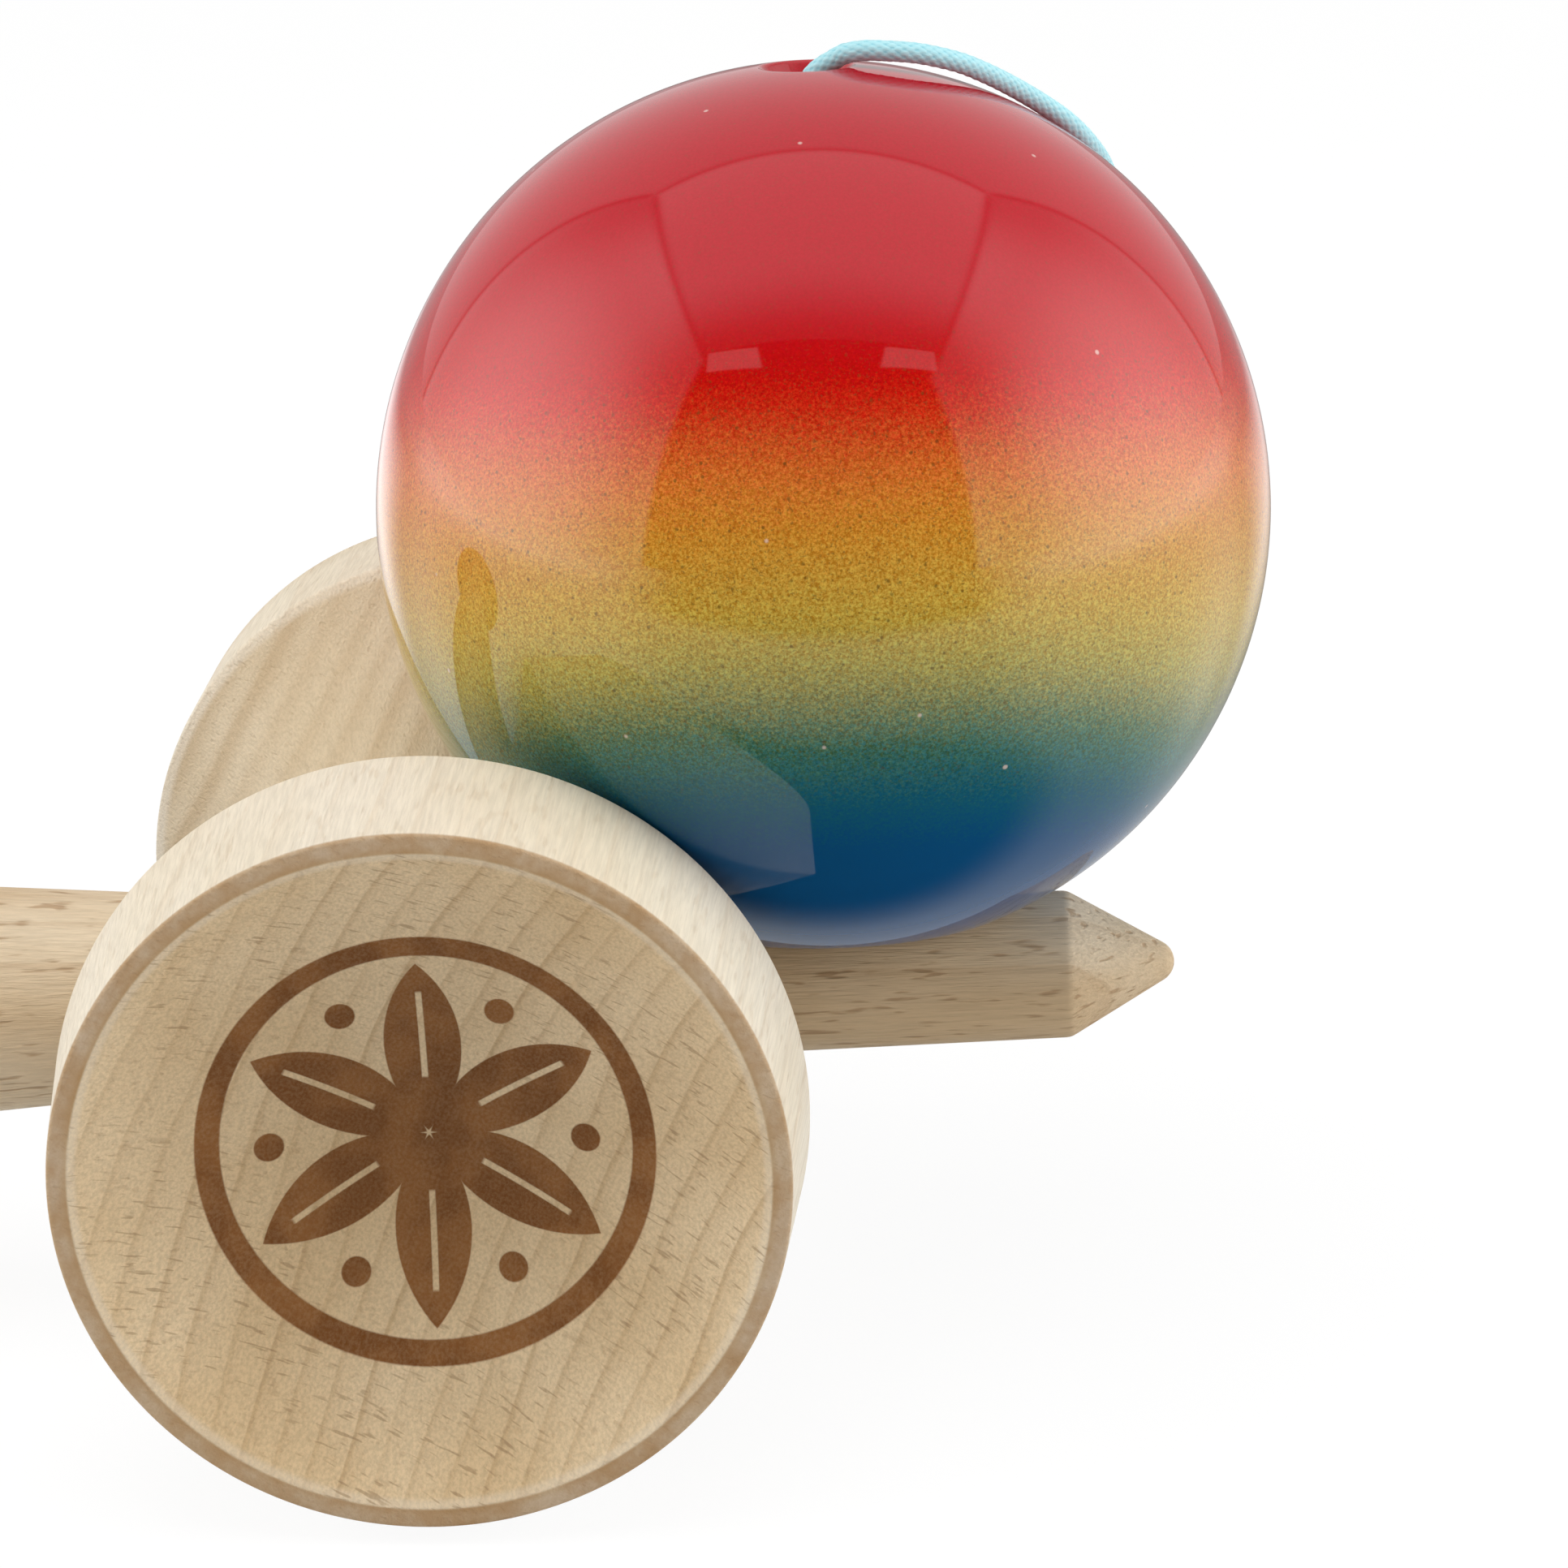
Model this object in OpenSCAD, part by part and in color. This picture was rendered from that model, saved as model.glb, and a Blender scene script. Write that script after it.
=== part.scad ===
// Cup and ball toy of the kendama kind: a turned stick with a spike and a base cup, a cross piece
// with two cups pushed over it, and a lacquered ball on a string. It lies on the ridges of its two
// cups and on its base cup, with the ball on the spike, its hole downwards.

/* [Ball] */
// Diameter of the ball
ball_d = 60; // [50:1:75]
// Diameter of the hole for the spike
hole_d = 23.5; // [18:0.5:26]
// Depth of the hole for the spike
hole_depth = 42; // [32:1:46]
// Width of the bevel around the mouth of the hole
hole_bevel = 0.7; // [0.3:0.1:1.5]
// Diameter of the small hole for the string
string_hole_d = 3.2; // [2.6:0.1:4]
// Diameter of the countersink of the small hole
sink_d = 6.2; // [5.6:0.1:7.4]
// Backward tilt of the ball where it rests, in degrees
ball_back = 5; // [0:0.5:8]

/* [Cross cups] */
// Length from rim to rim
cups_len = 74; // [70:1:90]
// Rim diameter of the big cup
big_rim_d = 47.4; // [44:0.2:49]
// Largest diameter of the big cup, at the ridge behind its wall
big_ridge_d = 49.4; // [48:0.2:54]
// Length of the big cup's wall, from rim to ridge
big_wall = 12.7; // [10:0.1:14]
// Rim diameter of the small cup
small_rim_d = 45.4; // [42:0.2:46]
// Largest diameter of the small cup
small_ridge_d = 46.8; // [46:0.2:50]
// Length of the small cup's wall
small_wall = 11.8; // [9:0.1:13]
// Width of the flat rim
rim_w = 1.4; // [1:0.1:2.5]
// Ball-shaped radius of the dishes
dish_r = 31; // [30:0.5:40]
// Diameter of the waist between the cups
waist_d = 20; // [18.5:0.5:26]

/* [Ken] */
// Distance from the middle of the cross to the tip of the spike
spike_len = 49.6; // [44:0.2:70]
// Diameter of the spike at the shoulder of its tip
shoulder_d = 10.1; // [8:0.1:11]
// Diameter of the spike where it leaves the cross cups
spike_root_d = 11.2; // [11:0.1:12]
// Half angle of the tip
tip_angle = 30; // [26:1:40]
// Radius of the rounded end of the tip
tip_r = 1.5; // [0.8:0.1:2]
// Diameter of the seat's handle end
seat_d = 12.7; // [12:0.1:14]
// Distance from the middle of the cross to the end of the handle
tail_len = 136; // [110:1:150]
// Thickest diameter of the handle
grip_d = 20; // [18:0.2:24]
// Diameter of the neck above the base cup
neck_d = 17.4; // [14:0.2:18]
// Largest diameter of the base cup
base_d = 40; // [39:0.5:44]
// Rim diameter of the base cup
base_rim_d = 38.4; // [32:0.2:39]
// Ball-shaped radius of the base cup's dish
base_dish_r = 25; // [22:0.5:35]

/* [String] */
// Diameter of the string
string_d = 1.35; // [1:0.05:1.8]
// Diameter of the bead inside the ball
bead_d = 9; // [7:0.5:11]
// Diameter of the knots
knot_d = 3.8; // [3:0.1:4]

/* [Fits] */
// Radial clearance of the cross cups on their seat
seat_gap = 0.04; // [0.02:0.01:0.1]
// Gap where the ball leans on its neighbours
rest_gap = 0.15; // [0.1:0.05:0.4]

/* [Hidden] */
$fn = 96;
over = 0.5;
wood = "burlywood";
cord_colour = "paleturquoise";

// Half length of the seat on the ken, which runs a little past the waist of the cross cups
seat_over = 2;
seat_half = waist_d / 2 + seat_over;
spike_root_r = spike_root_d / 2;
shoulder_r = shoulder_d / 2;
// Places of the ridges along the axis of the cross cups
big_ridge_y = cups_len / 2 - big_wall;
small_ridge_y = cups_len / 2 - small_wall;
waist_r = waist_d / 2;
big_ridge_r = big_ridge_d / 2;
small_ridge_r = small_ridge_d / 2;
// The groove between the cups: one arc from ridge to ridge that touches the waist, its middle and radius
big_rise = big_ridge_r - waist_r;
small_rise = small_ridge_r - waist_r;
groove_slope = 2 * (small_rise * big_ridge_y + big_rise * small_ridge_y);
groove_skew = small_rise * (big_ridge_r * big_ridge_r - waist_r * waist_r + big_ridge_y * big_ridge_y)
    - big_rise * (small_ridge_r * small_ridge_r - waist_r * waist_r + small_ridge_y * small_ridge_y);
groove_y = -2 * groove_skew
    / (groove_slope + sqrt(groove_slope * groove_slope - 4 * (small_rise - big_rise) * groove_skew));
groove_mid = (big_ridge_r * big_ridge_r - waist_r * waist_r + pow(big_ridge_y + groove_y, 2)) / (2 * big_rise);
groove_r = groove_mid - waist_r;
// The walls are drawn this much too long before the groove cuts them
wall_reach = 1.15;
// Rounding of the turned edges
edge_r = 0.6;
// Base cup: its widest place sits this far in from the end
base_wall = 4;
base_lip = 1.4;
base_ridge_x = tail_len - base_wall;
// Places of the handle's thickest ring and of the neck, and the handle's slope at the seat
grip_x = 0.6 * tail_len;
neck_x = 0.82 * tail_len;
grip_start = 0.068;

// Resting pose: the ridges of both cups and the widest ring of the base cup touch the ground
roll = atan((small_ridge_d - big_ridge_d) / 2 / (big_ridge_y + small_ridge_y));
cross_z = big_ridge_d / 2 * cos(roll) + big_ridge_y * sin(roll);
pitch = asin(cross_z / norm([base_ridge_x, base_d / 2])) - atan(base_d / 2 / base_ridge_x);
lean = asin(sin(roll) / cos(pitch));
// Place of the ball on the spike, against the ridges of both cups
mouth_r = hole_d / 2 + hole_bevel;
ball_r = ball_d / 2;
ball_z = (spike_root_r + sqrt(ball_r * ball_r - mouth_r * mouth_r) + rest_gap) / cos(ball_back);
away = ball_r + rest_gap;
spare = groove_r - away;
// On the ridges, or on the floor of a groove that is wider than the ball
ball_reach = spare > abs(groove_y)
    ? groove_mid - sqrt(spare * spare - groove_y * groove_y)
    : max(ridge_reach(big_ridge_r, big_ridge_y), ridge_reach(small_ridge_r, small_ridge_y));
ball_x = sqrt(ball_reach * ball_reach - ball_z * ball_z);
ball_at = [ball_x, 0, ball_z];
// The middle of the outline lies over the origin
left_x = -tail_len * cos(pitch) - base_rim_d / 2 * sin(pitch);
ball_mid_x = ball_x * cos(pitch) - ball_z * cos(lean) * sin(pitch);
shift_x = -(left_x + ball_mid_x + ball_r) / 2;

// Inside the ball, from its middle: the hole's end, its drilled point and the bead under it
hole_top = hole_depth - ball_r;
hole_top_r = hole_d / 2 - 1.2;
string_hole_r = string_hole_d / 2;
point_slope = 0.5;
point_top = hole_top + (hole_top_r - string_hole_r) * point_slope;
bead_r = bead_d / 2;
bead_flat = bead_r * 0.93;
bead_gap = 0.3;
bead_z = point_top + string_hole_r * point_slope
    - (bead_r + bead_gap) * sqrt(1 + point_slope * point_slope);
bead_bore_d = string_d + 0.8;
knot_h = 3.2;
// The countersink is this much deeper than it is wide
sink_steep = 1.6;
sink_depth = (sink_d - string_hole_d) / 2 * sink_steep;

// Pocket in the ken for the end knot, and the way out for the string
pocket_d = knot_d + 0.8;
pocket_floor = 1.6;
thread_d = string_d + 0.7;
// Radius of the seat under the string
seat_mid_r = (seat_d / 2 + spike_root_r) / 2;
join_gap = 0.06;

// The string. Over the ball: angle from the top, angle around the ball's axis, gap to the ball
over_ball = [[3.9, -18.7, -0.29], [7, -20.8, 0.37], [10.2, -14.5, 0.57], [13.4, -7.7, 0.68],
    [16.4, -1.1, 0.64], [19.3, 5.1, 0.55], [22.3, 10.7, 0.39], [25.5, 15.4, 0.27], [29, 19.2, 0.21],
    [33, 21.6, 0.2], [37.4, 23, 0.2], [42.4, 26.2, 0.21], [48, 30.5, 0.28], [56, 36, 0.33],
    [66, 42.5, 0.38], [76, 50, 0.4], [86, 58.5, 0.4], [96, 67, 0.4], [106, 76, 0.4], [116, 84, 0.4],
    [126, 90, 0.4], [134, 95, 0.5]];
// The same beside the cups, from the ball to the ground, from under the middle of the cross
beside_cups = [[22.5, 16, 29], [21.5, 13.5, 24], [20.5, 11.5, 19], [19.5, 10.5, 14], [18.3, 10, 9],
    [16.2, 9.6, 5], [13, 9.4, 2.2]];
// And from the coil up to its hole in the cross cups
under_cups = [[-6.5, 8.9, 2.6], [-10, 6.2, 3.2], [-11.2, 2.2, 4.2], [-9.4, -1.6, 5.6], [-5.6, -3, 7.2],
    [-2, -2, 8.8]];
// Coil of the spare length: place of its middle, radii, loops in each of its two layers
coil_at = [-3, 0];
coil_loops = 3;
coil_pitch = string_d + 0.5;
coil_in_r = 3.8;
coil_out_r = coil_in_r + coil_loops * coil_pitch;
coil_low = string_d / 2 + 0.1;
coil_rise = string_d + 0.5;
coil_steps = 24;
coil_sides = 6;
cord_sides = 8;
coil_start = under_middle([coil_at.x + string_d, coil_at.y + coil_out_r, coil_low]);
coil_end = under_middle([coil_at.x - string_d, coil_at.y + coil_out_r, coil_low + coil_rise]);
coil_line = concat([coil_start], [for (i = [0:2 * coil_loops * coil_steps]) coil_point(i / coil_steps)], [coil_end]);
coil_gap = min([for (i = [0:len(coil_line) - 1], j = [i + 6:1:len(coil_line) - 1])
    norm(coil_line[i] - coil_line[j])]) - string_d;
echo(least_gap_in_coil = coil_gap);
// On the ground before the coil, from the coil's first end
landing = [[11, 0, 0.9], [7.5, 0, 0.2], [4, 0, 0]];
// The stretch in the ball starts on its knot and leaves the small hole along the ball's axis
hole_line = [for (z = [bead_z - bead_flat, bead_z, bead_z + bead_r, point_top, ball_r - 6, ball_r - 1.5])
    in_ball_frame([0, 0, z])];
on_ball = [for (p = over_ball) in_ball_frame((ball_r + string_d / 2 + p[2])
    * [sin(p[0]) * cos(p[1]), sin(p[0]) * sin(p[1]), cos(p[0])])];
// Where the stretch that follows the ball meets the one that stays by the cups
split_from = on_ball[len(on_ball) - 1];
split_to = under_middle(beside_cups[0]);
split = (split_from + split_to) / 2;
split_way = unit(split_to - split_from);

// How far the ball's middle stays from the cups' axis when it leans on a ridge
function ridge_reach(r, y) = r + sqrt(away * away - y * y);
// A point of the toy's own frame, with the ken along X, brought to its place on the ground
function placed(p) = let(
    y1 = p.y * cos(lean) - p.z * sin(lean),
    z1 = p.y * sin(lean) + p.z * cos(lean))
    [p.x * cos(pitch) - z1 * sin(pitch) + shift_x, y1, p.x * sin(pitch) + z1 * cos(pitch) + cross_z];
// A point of the ball's own frame, with the ball's axis along Z, brought to its place
function in_ball_frame(p) = placed(ball_at
    + [p.x, p.y * cos(ball_back) + p.z * sin(ball_back), p.z * cos(ball_back) - p.y * sin(ball_back)]);
// A point given from the ground under the middle of the cross
function under_middle(p) = p + [shift_x, 0, 0];
// Two flat spirals, in along the ground and out above it, with a climb where they meet
function coil_point(t) = let(
    r = coil_in_r + coil_pitch * abs(coil_loops - t),
    up = ease(min(max(2 * (t - coil_loops) + 0.5, 0), 1)),
    a = 90 + 360 * t)
    under_middle([coil_at.x + r * cos(a), coil_at.y + r * sin(a), coil_low + coil_rise * up]);
// Rise from 0 to 1 that starts with the given slope and ends level
function swell(t, slope) = slope * t * pow(1 - t, 2) + t * t * (3 - 2 * t);
// Distance of a dish's centre from the plane of its edge
function dish_offset(dish, r) = sqrt(dish * dish - r * r);
function unit(v) = v / norm(v);
function half_angle(a, b, c) = acos(unit(a - b) * unit(c - b)) / 2;
// Points of an arc of radius r that rounds the corner b between a and c
function corner(a, b, c, r) = r == 0 ? [b] : let(
    h = half_angle(a, b, c),
    mid = b + unit(unit(a - b) + unit(c - b)) * r / sin(h),
    start = b + unit(a - b) * r / tan(h) - mid,
    end = b + unit(c - b) * r / tan(h) - mid,
    turn = atan2(start.x * end.y - start.y * end.x, start * end),
    steps = max(2, round(abs(turn) / 15)))
    [for (i = [0:steps]) let(t = turn * i / steps)
        mid + [start.x * cos(t) - start.y * sin(t), start.x * sin(t) + start.y * cos(t)]];
// Closed outline with the given rounding at each of its points
function rounded(p, r) = let(n = len(p))
    [for (i = [0:n - 1]) each corner(p[(i + n - 1) % n], p[i], p[(i + 1) % n], r[i])];
function ease(t) = (1 - cos(180 * t)) / 2;
function mix(a, b, t) = a + (b - a) * t;
// A smooth line through the points, with extra ones between each pair
function curve(p, cuts) = let(n = len(p))
    [for (i = [0:n - 2], k = [0:cuts - 1])
        let(t = k / cuts, a = p[max(i - 1, 0)], b = p[i], c = p[i + 1], d = p[min(i + 2, n - 1)])
        0.5 * (2 * b + t * (c - a) + t * t * (2 * a - 5 * b + 4 * c - d)
            + t * t * t * (3 * b - a - 3 * c + d)), p[n - 1]];
function tangent(p, i) = unit(p[min(i + 1, len(p) - 1)] - p[max(i - 1, 0)]);
function square_to(v, t) = unit(v - t * (v * t));
// Side directions carried along the line without twist
function sides_along(p, i = 0, v = [0.31, 0.9, 0.27]) = i == len(p) ? [] : let(
    s = square_to(v, tangent(p, i)))
    concat([s], sides_along(p, i + 1, s));

module tube(p, d, n) {
    s = sides_along(p);
    rings = len(p);
    points = [for (i = [0:rings - 1], k = [0:n - 1]) let(a = 360 * k / n)
        p[i] + d / 2 * (cos(a) * s[i] + sin(a) * cross(tangent(p, i), s[i]))];
    walls = [for (i = [0:rings - 2], k = [0:n - 1])
        [i * n + k, i * n + (k + 1) % n, (i + 1) * n + (k + 1) % n, (i + 1) * n + k]];
    first = [for (k = [0:n - 1]) n - 1 - k];
    last = [for (k = [0:n - 1]) (rings - 1) * n + k];
    polyhedron(points = points, faces = concat([first], walls, [last]));
}

// Sets a shape of the toy's own frame on the ground
module on_ground() {
    translate([shift_x, 0, cross_z])
        rotate([0, -pitch, 0])
            rotate([lean, 0, 0])
                children();
}

// Sets a shape of the ball's own frame on the spike
module on_spike() {
    on_ground()
        translate(ball_at)
            rotate([-ball_back, 0, 0])
                children();
}

// The stick: spike, seat, handle and base cup in one turned piece
module ken() {
    tip_x = spike_len - tip_r;
    tip = [for (a = [0:10:90 - tip_angle]) [tip_r * sin(a), tip_x + tip_r * cos(a)]];
    cone_end = [tip_r * cos(tip_angle), tip_x + tip_r * sin(tip_angle)];
    shoulder_x = cone_end.y - (shoulder_r - cone_end.x) / tan(tip_angle);
    seat_r = seat_d / 2;
    grip_rise = grip_d / 2 - seat_r;
    grip_run = grip_x - seat_half;
    grip = [for (i = [0:16]) let(t = i / 16)
        [seat_r + grip_rise * swell(t, grip_start * grip_run / grip_rise), -seat_half - grip_run * t]];
    neck = [for (i = [1:8]) [mix(grip_d, neck_d, ease(i / 8)) / 2, -mix(grip_x, neck_x, i / 8)]];
    flare = [for (i = [1:10]) [mix(neck_d, base_d, 1 - cos(9 * i)) / 2, -mix(neck_x, base_ridge_x, i / 10)]];
    outline = concat(tip, [cone_end, [shoulder_r, shoulder_x], [spike_root_r, seat_half]], grip, neck, flare,
        [[base_rim_d / 2, -tail_len], [0, -tail_len]]);
    color(wood)
        on_ground()
            difference() {
                rotate([0, 90, 0])
                    rotate_extrude()
                        polygon(outline);
                translate([-tail_len - dish_offset(base_dish_r, base_rim_d / 2 - base_lip), 0, 0])
                    sphere(r = base_dish_r);
                translate([0, 0, pocket_floor])
                    cylinder(d = pocket_d, h = seat_d);
                translate([0, 0, -seat_d])
                    cylinder(d = thread_d, h = seat_d + pocket_floor + over);
            }
}

// The cross piece with the big cup in front and the small cup behind
module cross_cups() {
    half = cups_len / 2;
    big_rim = [big_rim_d / 2, -half];
    small_rim = [small_rim_d / 2, half];
    big_end = mix(big_rim, [big_ridge_r, -big_ridge_y], wall_reach);
    small_end = mix(small_rim, [small_ridge_r, small_ridge_y], wall_reach);
    outline = rounded([[0, -half], big_rim, big_end, small_end, small_rim, [0, half]],
        [0, edge_r / 2, 0, 0, edge_r / 2, 0]);
    color(wood)
        on_ground()
            difference() {
                rotate([-90, 0, 0])
                    rotate_extrude()
                        polygon(outline);
                rotate([-90, 0, 0])
                    rotate_extrude()
                        translate([groove_mid, groove_y])
                            circle(r = groove_r);
                translate([0, -half - dish_offset(dish_r, big_rim_d / 2 - rim_w), 0])
                    sphere(r = dish_r);
                translate([0, half + dish_offset(dish_r, small_rim_d / 2 - rim_w), 0])
                    sphere(r = dish_r);
                translate([-seat_half, 0, 0])
                    rotate([0, 90, 0])
                        cylinder(r1 = seat_d / 2 + seat_gap, r2 = spike_root_r + seat_gap, h = 2 * seat_half);
                translate([0, 0, -waist_d])
                    cylinder(d = thread_d, h = waist_d);
            }
}

// Turned ball with the spike's hole below and the string's hole above
module ball() {
    mouth_z = -sqrt(ball_r * ball_r - mouth_r * mouth_r);
    sink_z = sqrt(ball_r * ball_r - sink_d * sink_d / 4);
    inside = [[0, -ball_d], [mouth_r, -ball_d], [mouth_r, mouth_z], [hole_d / 2, mouth_z + hole_bevel],
        [hole_top_r, hole_top], [string_hole_r, point_top], [string_hole_r, sink_z - sink_depth],
        [sink_d / 2, sink_z], [sink_d / 2, ball_d], [0, ball_d]];
    color("firebrick")
        on_spike()
            difference() {
                sphere(r = ball_r);
                rotate_extrude()
                    polygon(inside);
            }
}

// Wooden bead that keeps the string's end inside the ball
module bead() {
    color("sienna")
        on_spike()
            translate([0, 0, bead_z])
                difference() {
                    intersection() {
                        sphere(r = bead_r);
                        cylinder(d = bead_d, h = 2 * bead_flat, center = true);
                    }
                    cylinder(d = bead_bore_d, h = bead_d, center = true);
                }
}

// A tight stopper knot standing on the ground plane of its own frame
module knot() {
    bulge = 0.7;
    outline = rounded(
        [[0, 0], [knot_d / 2 * bulge, 0], [knot_d / 2, knot_h / 2], [knot_d / 2 * bulge, knot_h], [0, knot_h]],
        [0, 0.2, 0.8, 0.2, 0]);
    rotate_extrude()
        polygon(outline);
}

module bead_knot() {
    color(cord_colour)
        on_spike()
            translate([0, 0, bead_z - bead_flat - knot_h])
                knot();
}

module ken_knot() {
    color(cord_colour)
        on_ground()
            translate([0, 0, pocket_floor])
                knot();
}

module string_in_ken() {
    drop = seat_mid_r - join_gap;
    color(cord_colour)
        on_ground()
            translate([0, 0, -drop])
                cylinder(d = string_d, h = drop + pocket_floor);
}

// From the hole in the cross cups down to the coil
module string_at_cups() {
    hole = [for (z = [seat_mid_r + seat_gap + join_gap, waist_r, waist_r + string_d]) placed([0, 0, -z])];
    lead = [for (i = [len(under_cups) - 1:-1:0]) under_middle(under_cups[i])];
    color(cord_colour)
        tube(concat(curve(concat(hole, lead, [coil_end + [-string_d, 0, 0]]), 2), [coil_end]),
            string_d, cord_sides);
}

module string_coil() {
    color(cord_colour)
        tube(coil_line, string_d, coil_sides);
}

// From the ball's back down between the spike and the small cup to the coil
module string_beside_cups() {
    drop = [for (p = beside_cups) under_middle(p)];
    run = [for (x = landing) coil_start + x];
    color(cord_colour)
        tube(concat([split + join_gap / 2 * split_way], curve(concat(drop, run), 2), [coil_start]),
            string_d, cord_sides);
}

// From the bead up through the ball and over its top to its back
module string_over_ball() {
    color(cord_colour)
        tube(concat(curve(concat(hole_line, on_ball), 2), [split - join_gap / 2 * split_way]),
            string_d, cord_sides);
}

ken();
cross_cups();
ball();
bead();
bead_knot();
ken_knot();
string_in_ken();
string_at_cups();
string_coil();
string_beside_cups();
string_over_ball();
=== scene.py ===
import logging
import math
from collections.abc import Callable
from dataclasses import dataclass
from enum import Enum
from functools import reduce

import bpy
from mathutils import Matrix, Vector


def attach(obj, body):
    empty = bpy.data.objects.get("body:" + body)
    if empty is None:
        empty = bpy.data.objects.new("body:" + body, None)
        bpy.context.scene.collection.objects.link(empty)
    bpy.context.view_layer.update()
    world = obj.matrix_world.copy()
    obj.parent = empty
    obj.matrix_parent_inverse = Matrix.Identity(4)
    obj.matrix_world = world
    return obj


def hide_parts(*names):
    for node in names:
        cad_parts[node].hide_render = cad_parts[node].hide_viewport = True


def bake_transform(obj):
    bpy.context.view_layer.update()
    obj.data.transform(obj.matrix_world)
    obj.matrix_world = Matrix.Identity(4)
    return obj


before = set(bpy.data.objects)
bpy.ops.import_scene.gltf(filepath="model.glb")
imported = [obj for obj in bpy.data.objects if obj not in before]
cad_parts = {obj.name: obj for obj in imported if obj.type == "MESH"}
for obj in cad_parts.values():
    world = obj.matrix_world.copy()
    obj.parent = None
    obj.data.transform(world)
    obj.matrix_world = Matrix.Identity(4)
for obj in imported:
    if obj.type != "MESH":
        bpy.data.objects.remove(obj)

LOG = logging.getLogger("cup_and_ball")
MM = 0.001
IMAGE_PX = 1932
TINY = 0.0001
ORIGIN = Vector((0.0, 0.0, 0.0))
WHITE = (1.0, 1.0, 1.0)
Point = tuple[float, float]
Triple = tuple[float, float, float]
Colour = Triple


class Body(Enum):
    """Moving bodies of the toy."""

    STICK = "ken"
    CUPS = "cups"
    TETHER = "tether"
    BALL = "ball"


class Slot(Enum):
    """Material slots of the record."""

    BEECH = "beech"
    LACQUER = "lacquered_wood"
    BEAD = "bead_wood"
    STRING = "string"


class Axis(Enum):
    """Turning axes in the toy's own frame: the stick lies along X, the cups along Y."""

    ALONG_STICK = (1.0, 0.0, 0.0)
    ALONG_CUPS = (0.0, 1.0, 0.0)
    UP = (0.0, 0.0, 1.0)


@dataclass(frozen=True)
class Sizes:
    """Sizes of the toy in millimetres, as in the part's source."""

    ball_d: float = 60.0
    hole_d: float = 23.5
    hole_depth: float = 42.0
    hole_bevel: float = 0.7
    hole_taper: float = 1.2
    point_slope: float = 0.5
    string_hole_d: float = 3.2
    sink_d: float = 6.2
    sink_steep: float = 1.6
    ball_back: float = 5.0
    cups_len: float = 74.0
    big_rim_d: float = 47.4
    big_ridge_d: float = 49.4
    big_wall: float = 12.7
    small_rim_d: float = 45.4
    small_ridge_d: float = 46.8
    small_wall: float = 11.8
    rim_w: float = 1.4
    dish_r: float = 31.0
    waist_d: float = 20.0
    spike_len: float = 49.6
    shoulder_d: float = 10.1
    spike_root_d: float = 11.2
    tip_angle: float = 30.0
    tip_r: float = 1.5
    seat_d: float = 12.7
    seat_over: float = 2.0
    tail_len: float = 136.0
    grip_d: float = 20.0
    neck_d: float = 17.4
    base_d: float = 40.0
    base_rim_d: float = 38.4
    base_dish_r: float = 25.0
    base_wall: float = 4.0
    base_lip: float = 1.4
    string_d: float = 1.35
    string_play: float = 0.7
    string_cut: float = 0.06
    bead_d: float = 9.0
    bead_play: float = 0.8
    bead_gap: float = 0.3
    bead_flat_share: float = 0.93
    knot_d: float = 3.8
    knot_h: float = 3.2
    pocket_z: float = 1.6
    pocket_play: float = 0.8
    seat_gap: float = 0.04
    rest_gap: float = 0.15

    @property
    def ball_r(self) -> float:
        """Radius of the ball."""
        return self.ball_d / 2

    @property
    def seat_half(self) -> float:
        """Half length of the seat under the cups."""
        return self.waist_d / 2 + self.seat_over

    @property
    def seat_mid_r(self) -> float:
        """Radius of the tapered seat at its middle."""
        return (self.seat_d + self.spike_root_d) / 4

    @property
    def thread_r(self) -> float:
        """Radius of the string's bores in the stick and the cups."""
        return (self.string_d + self.string_play) / 2

    @property
    def big_ridge_y(self) -> float:
        """Place of the big cup's ridge along the cups' axis."""
        return self.cups_len / 2 - self.big_wall

    @property
    def small_ridge_y(self) -> float:
        """Place of the small cup's ridge along the cups' axis."""
        return self.cups_len / 2 - self.small_wall

    @property
    def mouth_r(self) -> float:
        """Outer radius of the bevel at the ball's hole."""
        return self.hole_d / 2 + self.hole_bevel

    @property
    def hole_top(self) -> float:
        """Height of the hole's end over the ball's middle."""
        return self.hole_depth - self.ball_r

    @property
    def hole_top_r(self) -> float:
        """Radius of the hole at its end."""
        return self.hole_d / 2 - self.hole_taper

    @property
    def point_top(self) -> float:
        """Height where the drilled point meets the string's hole."""
        return self.hole_top + (self.hole_top_r - self.string_hole_d / 2) * self.point_slope

    @property
    def bead_z(self) -> float:
        """Height of the bead over the ball's middle."""
        seat = (self.bead_d / 2 + self.bead_gap) * math.hypot(1.0, self.point_slope)
        return self.point_top + self.string_hole_d / 2 * self.point_slope - seat

    @property
    def bead_flat(self) -> float:
        """Half height of the bead between its flats."""
        return self.bead_d / 2 * self.bead_flat_share

    @property
    def groove(self) -> tuple[float, float, float]:
        """Arc between the ridges: its middle's radius and place along the axis, and its own radius."""
        waist = self.waist_d / 2
        big, small = self.big_ridge_d / 2, self.small_ridge_d / 2
        big_y, small_y = self.big_ridge_y, self.small_ridge_y
        slope = 2 * ((small - waist) * big_y + (big - waist) * small_y)
        skew = (small - waist) * (big**2 - waist**2 + big_y**2)
        skew -= (big - waist) * (small**2 - waist**2 + small_y**2)
        at = -2 * skew / (slope + math.sqrt(slope**2 - 4 * (small - big) * skew))
        mid = (big**2 - waist**2 + (big_y + at) ** 2) / (2 * (big - waist))
        return mid, at, mid - waist


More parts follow.
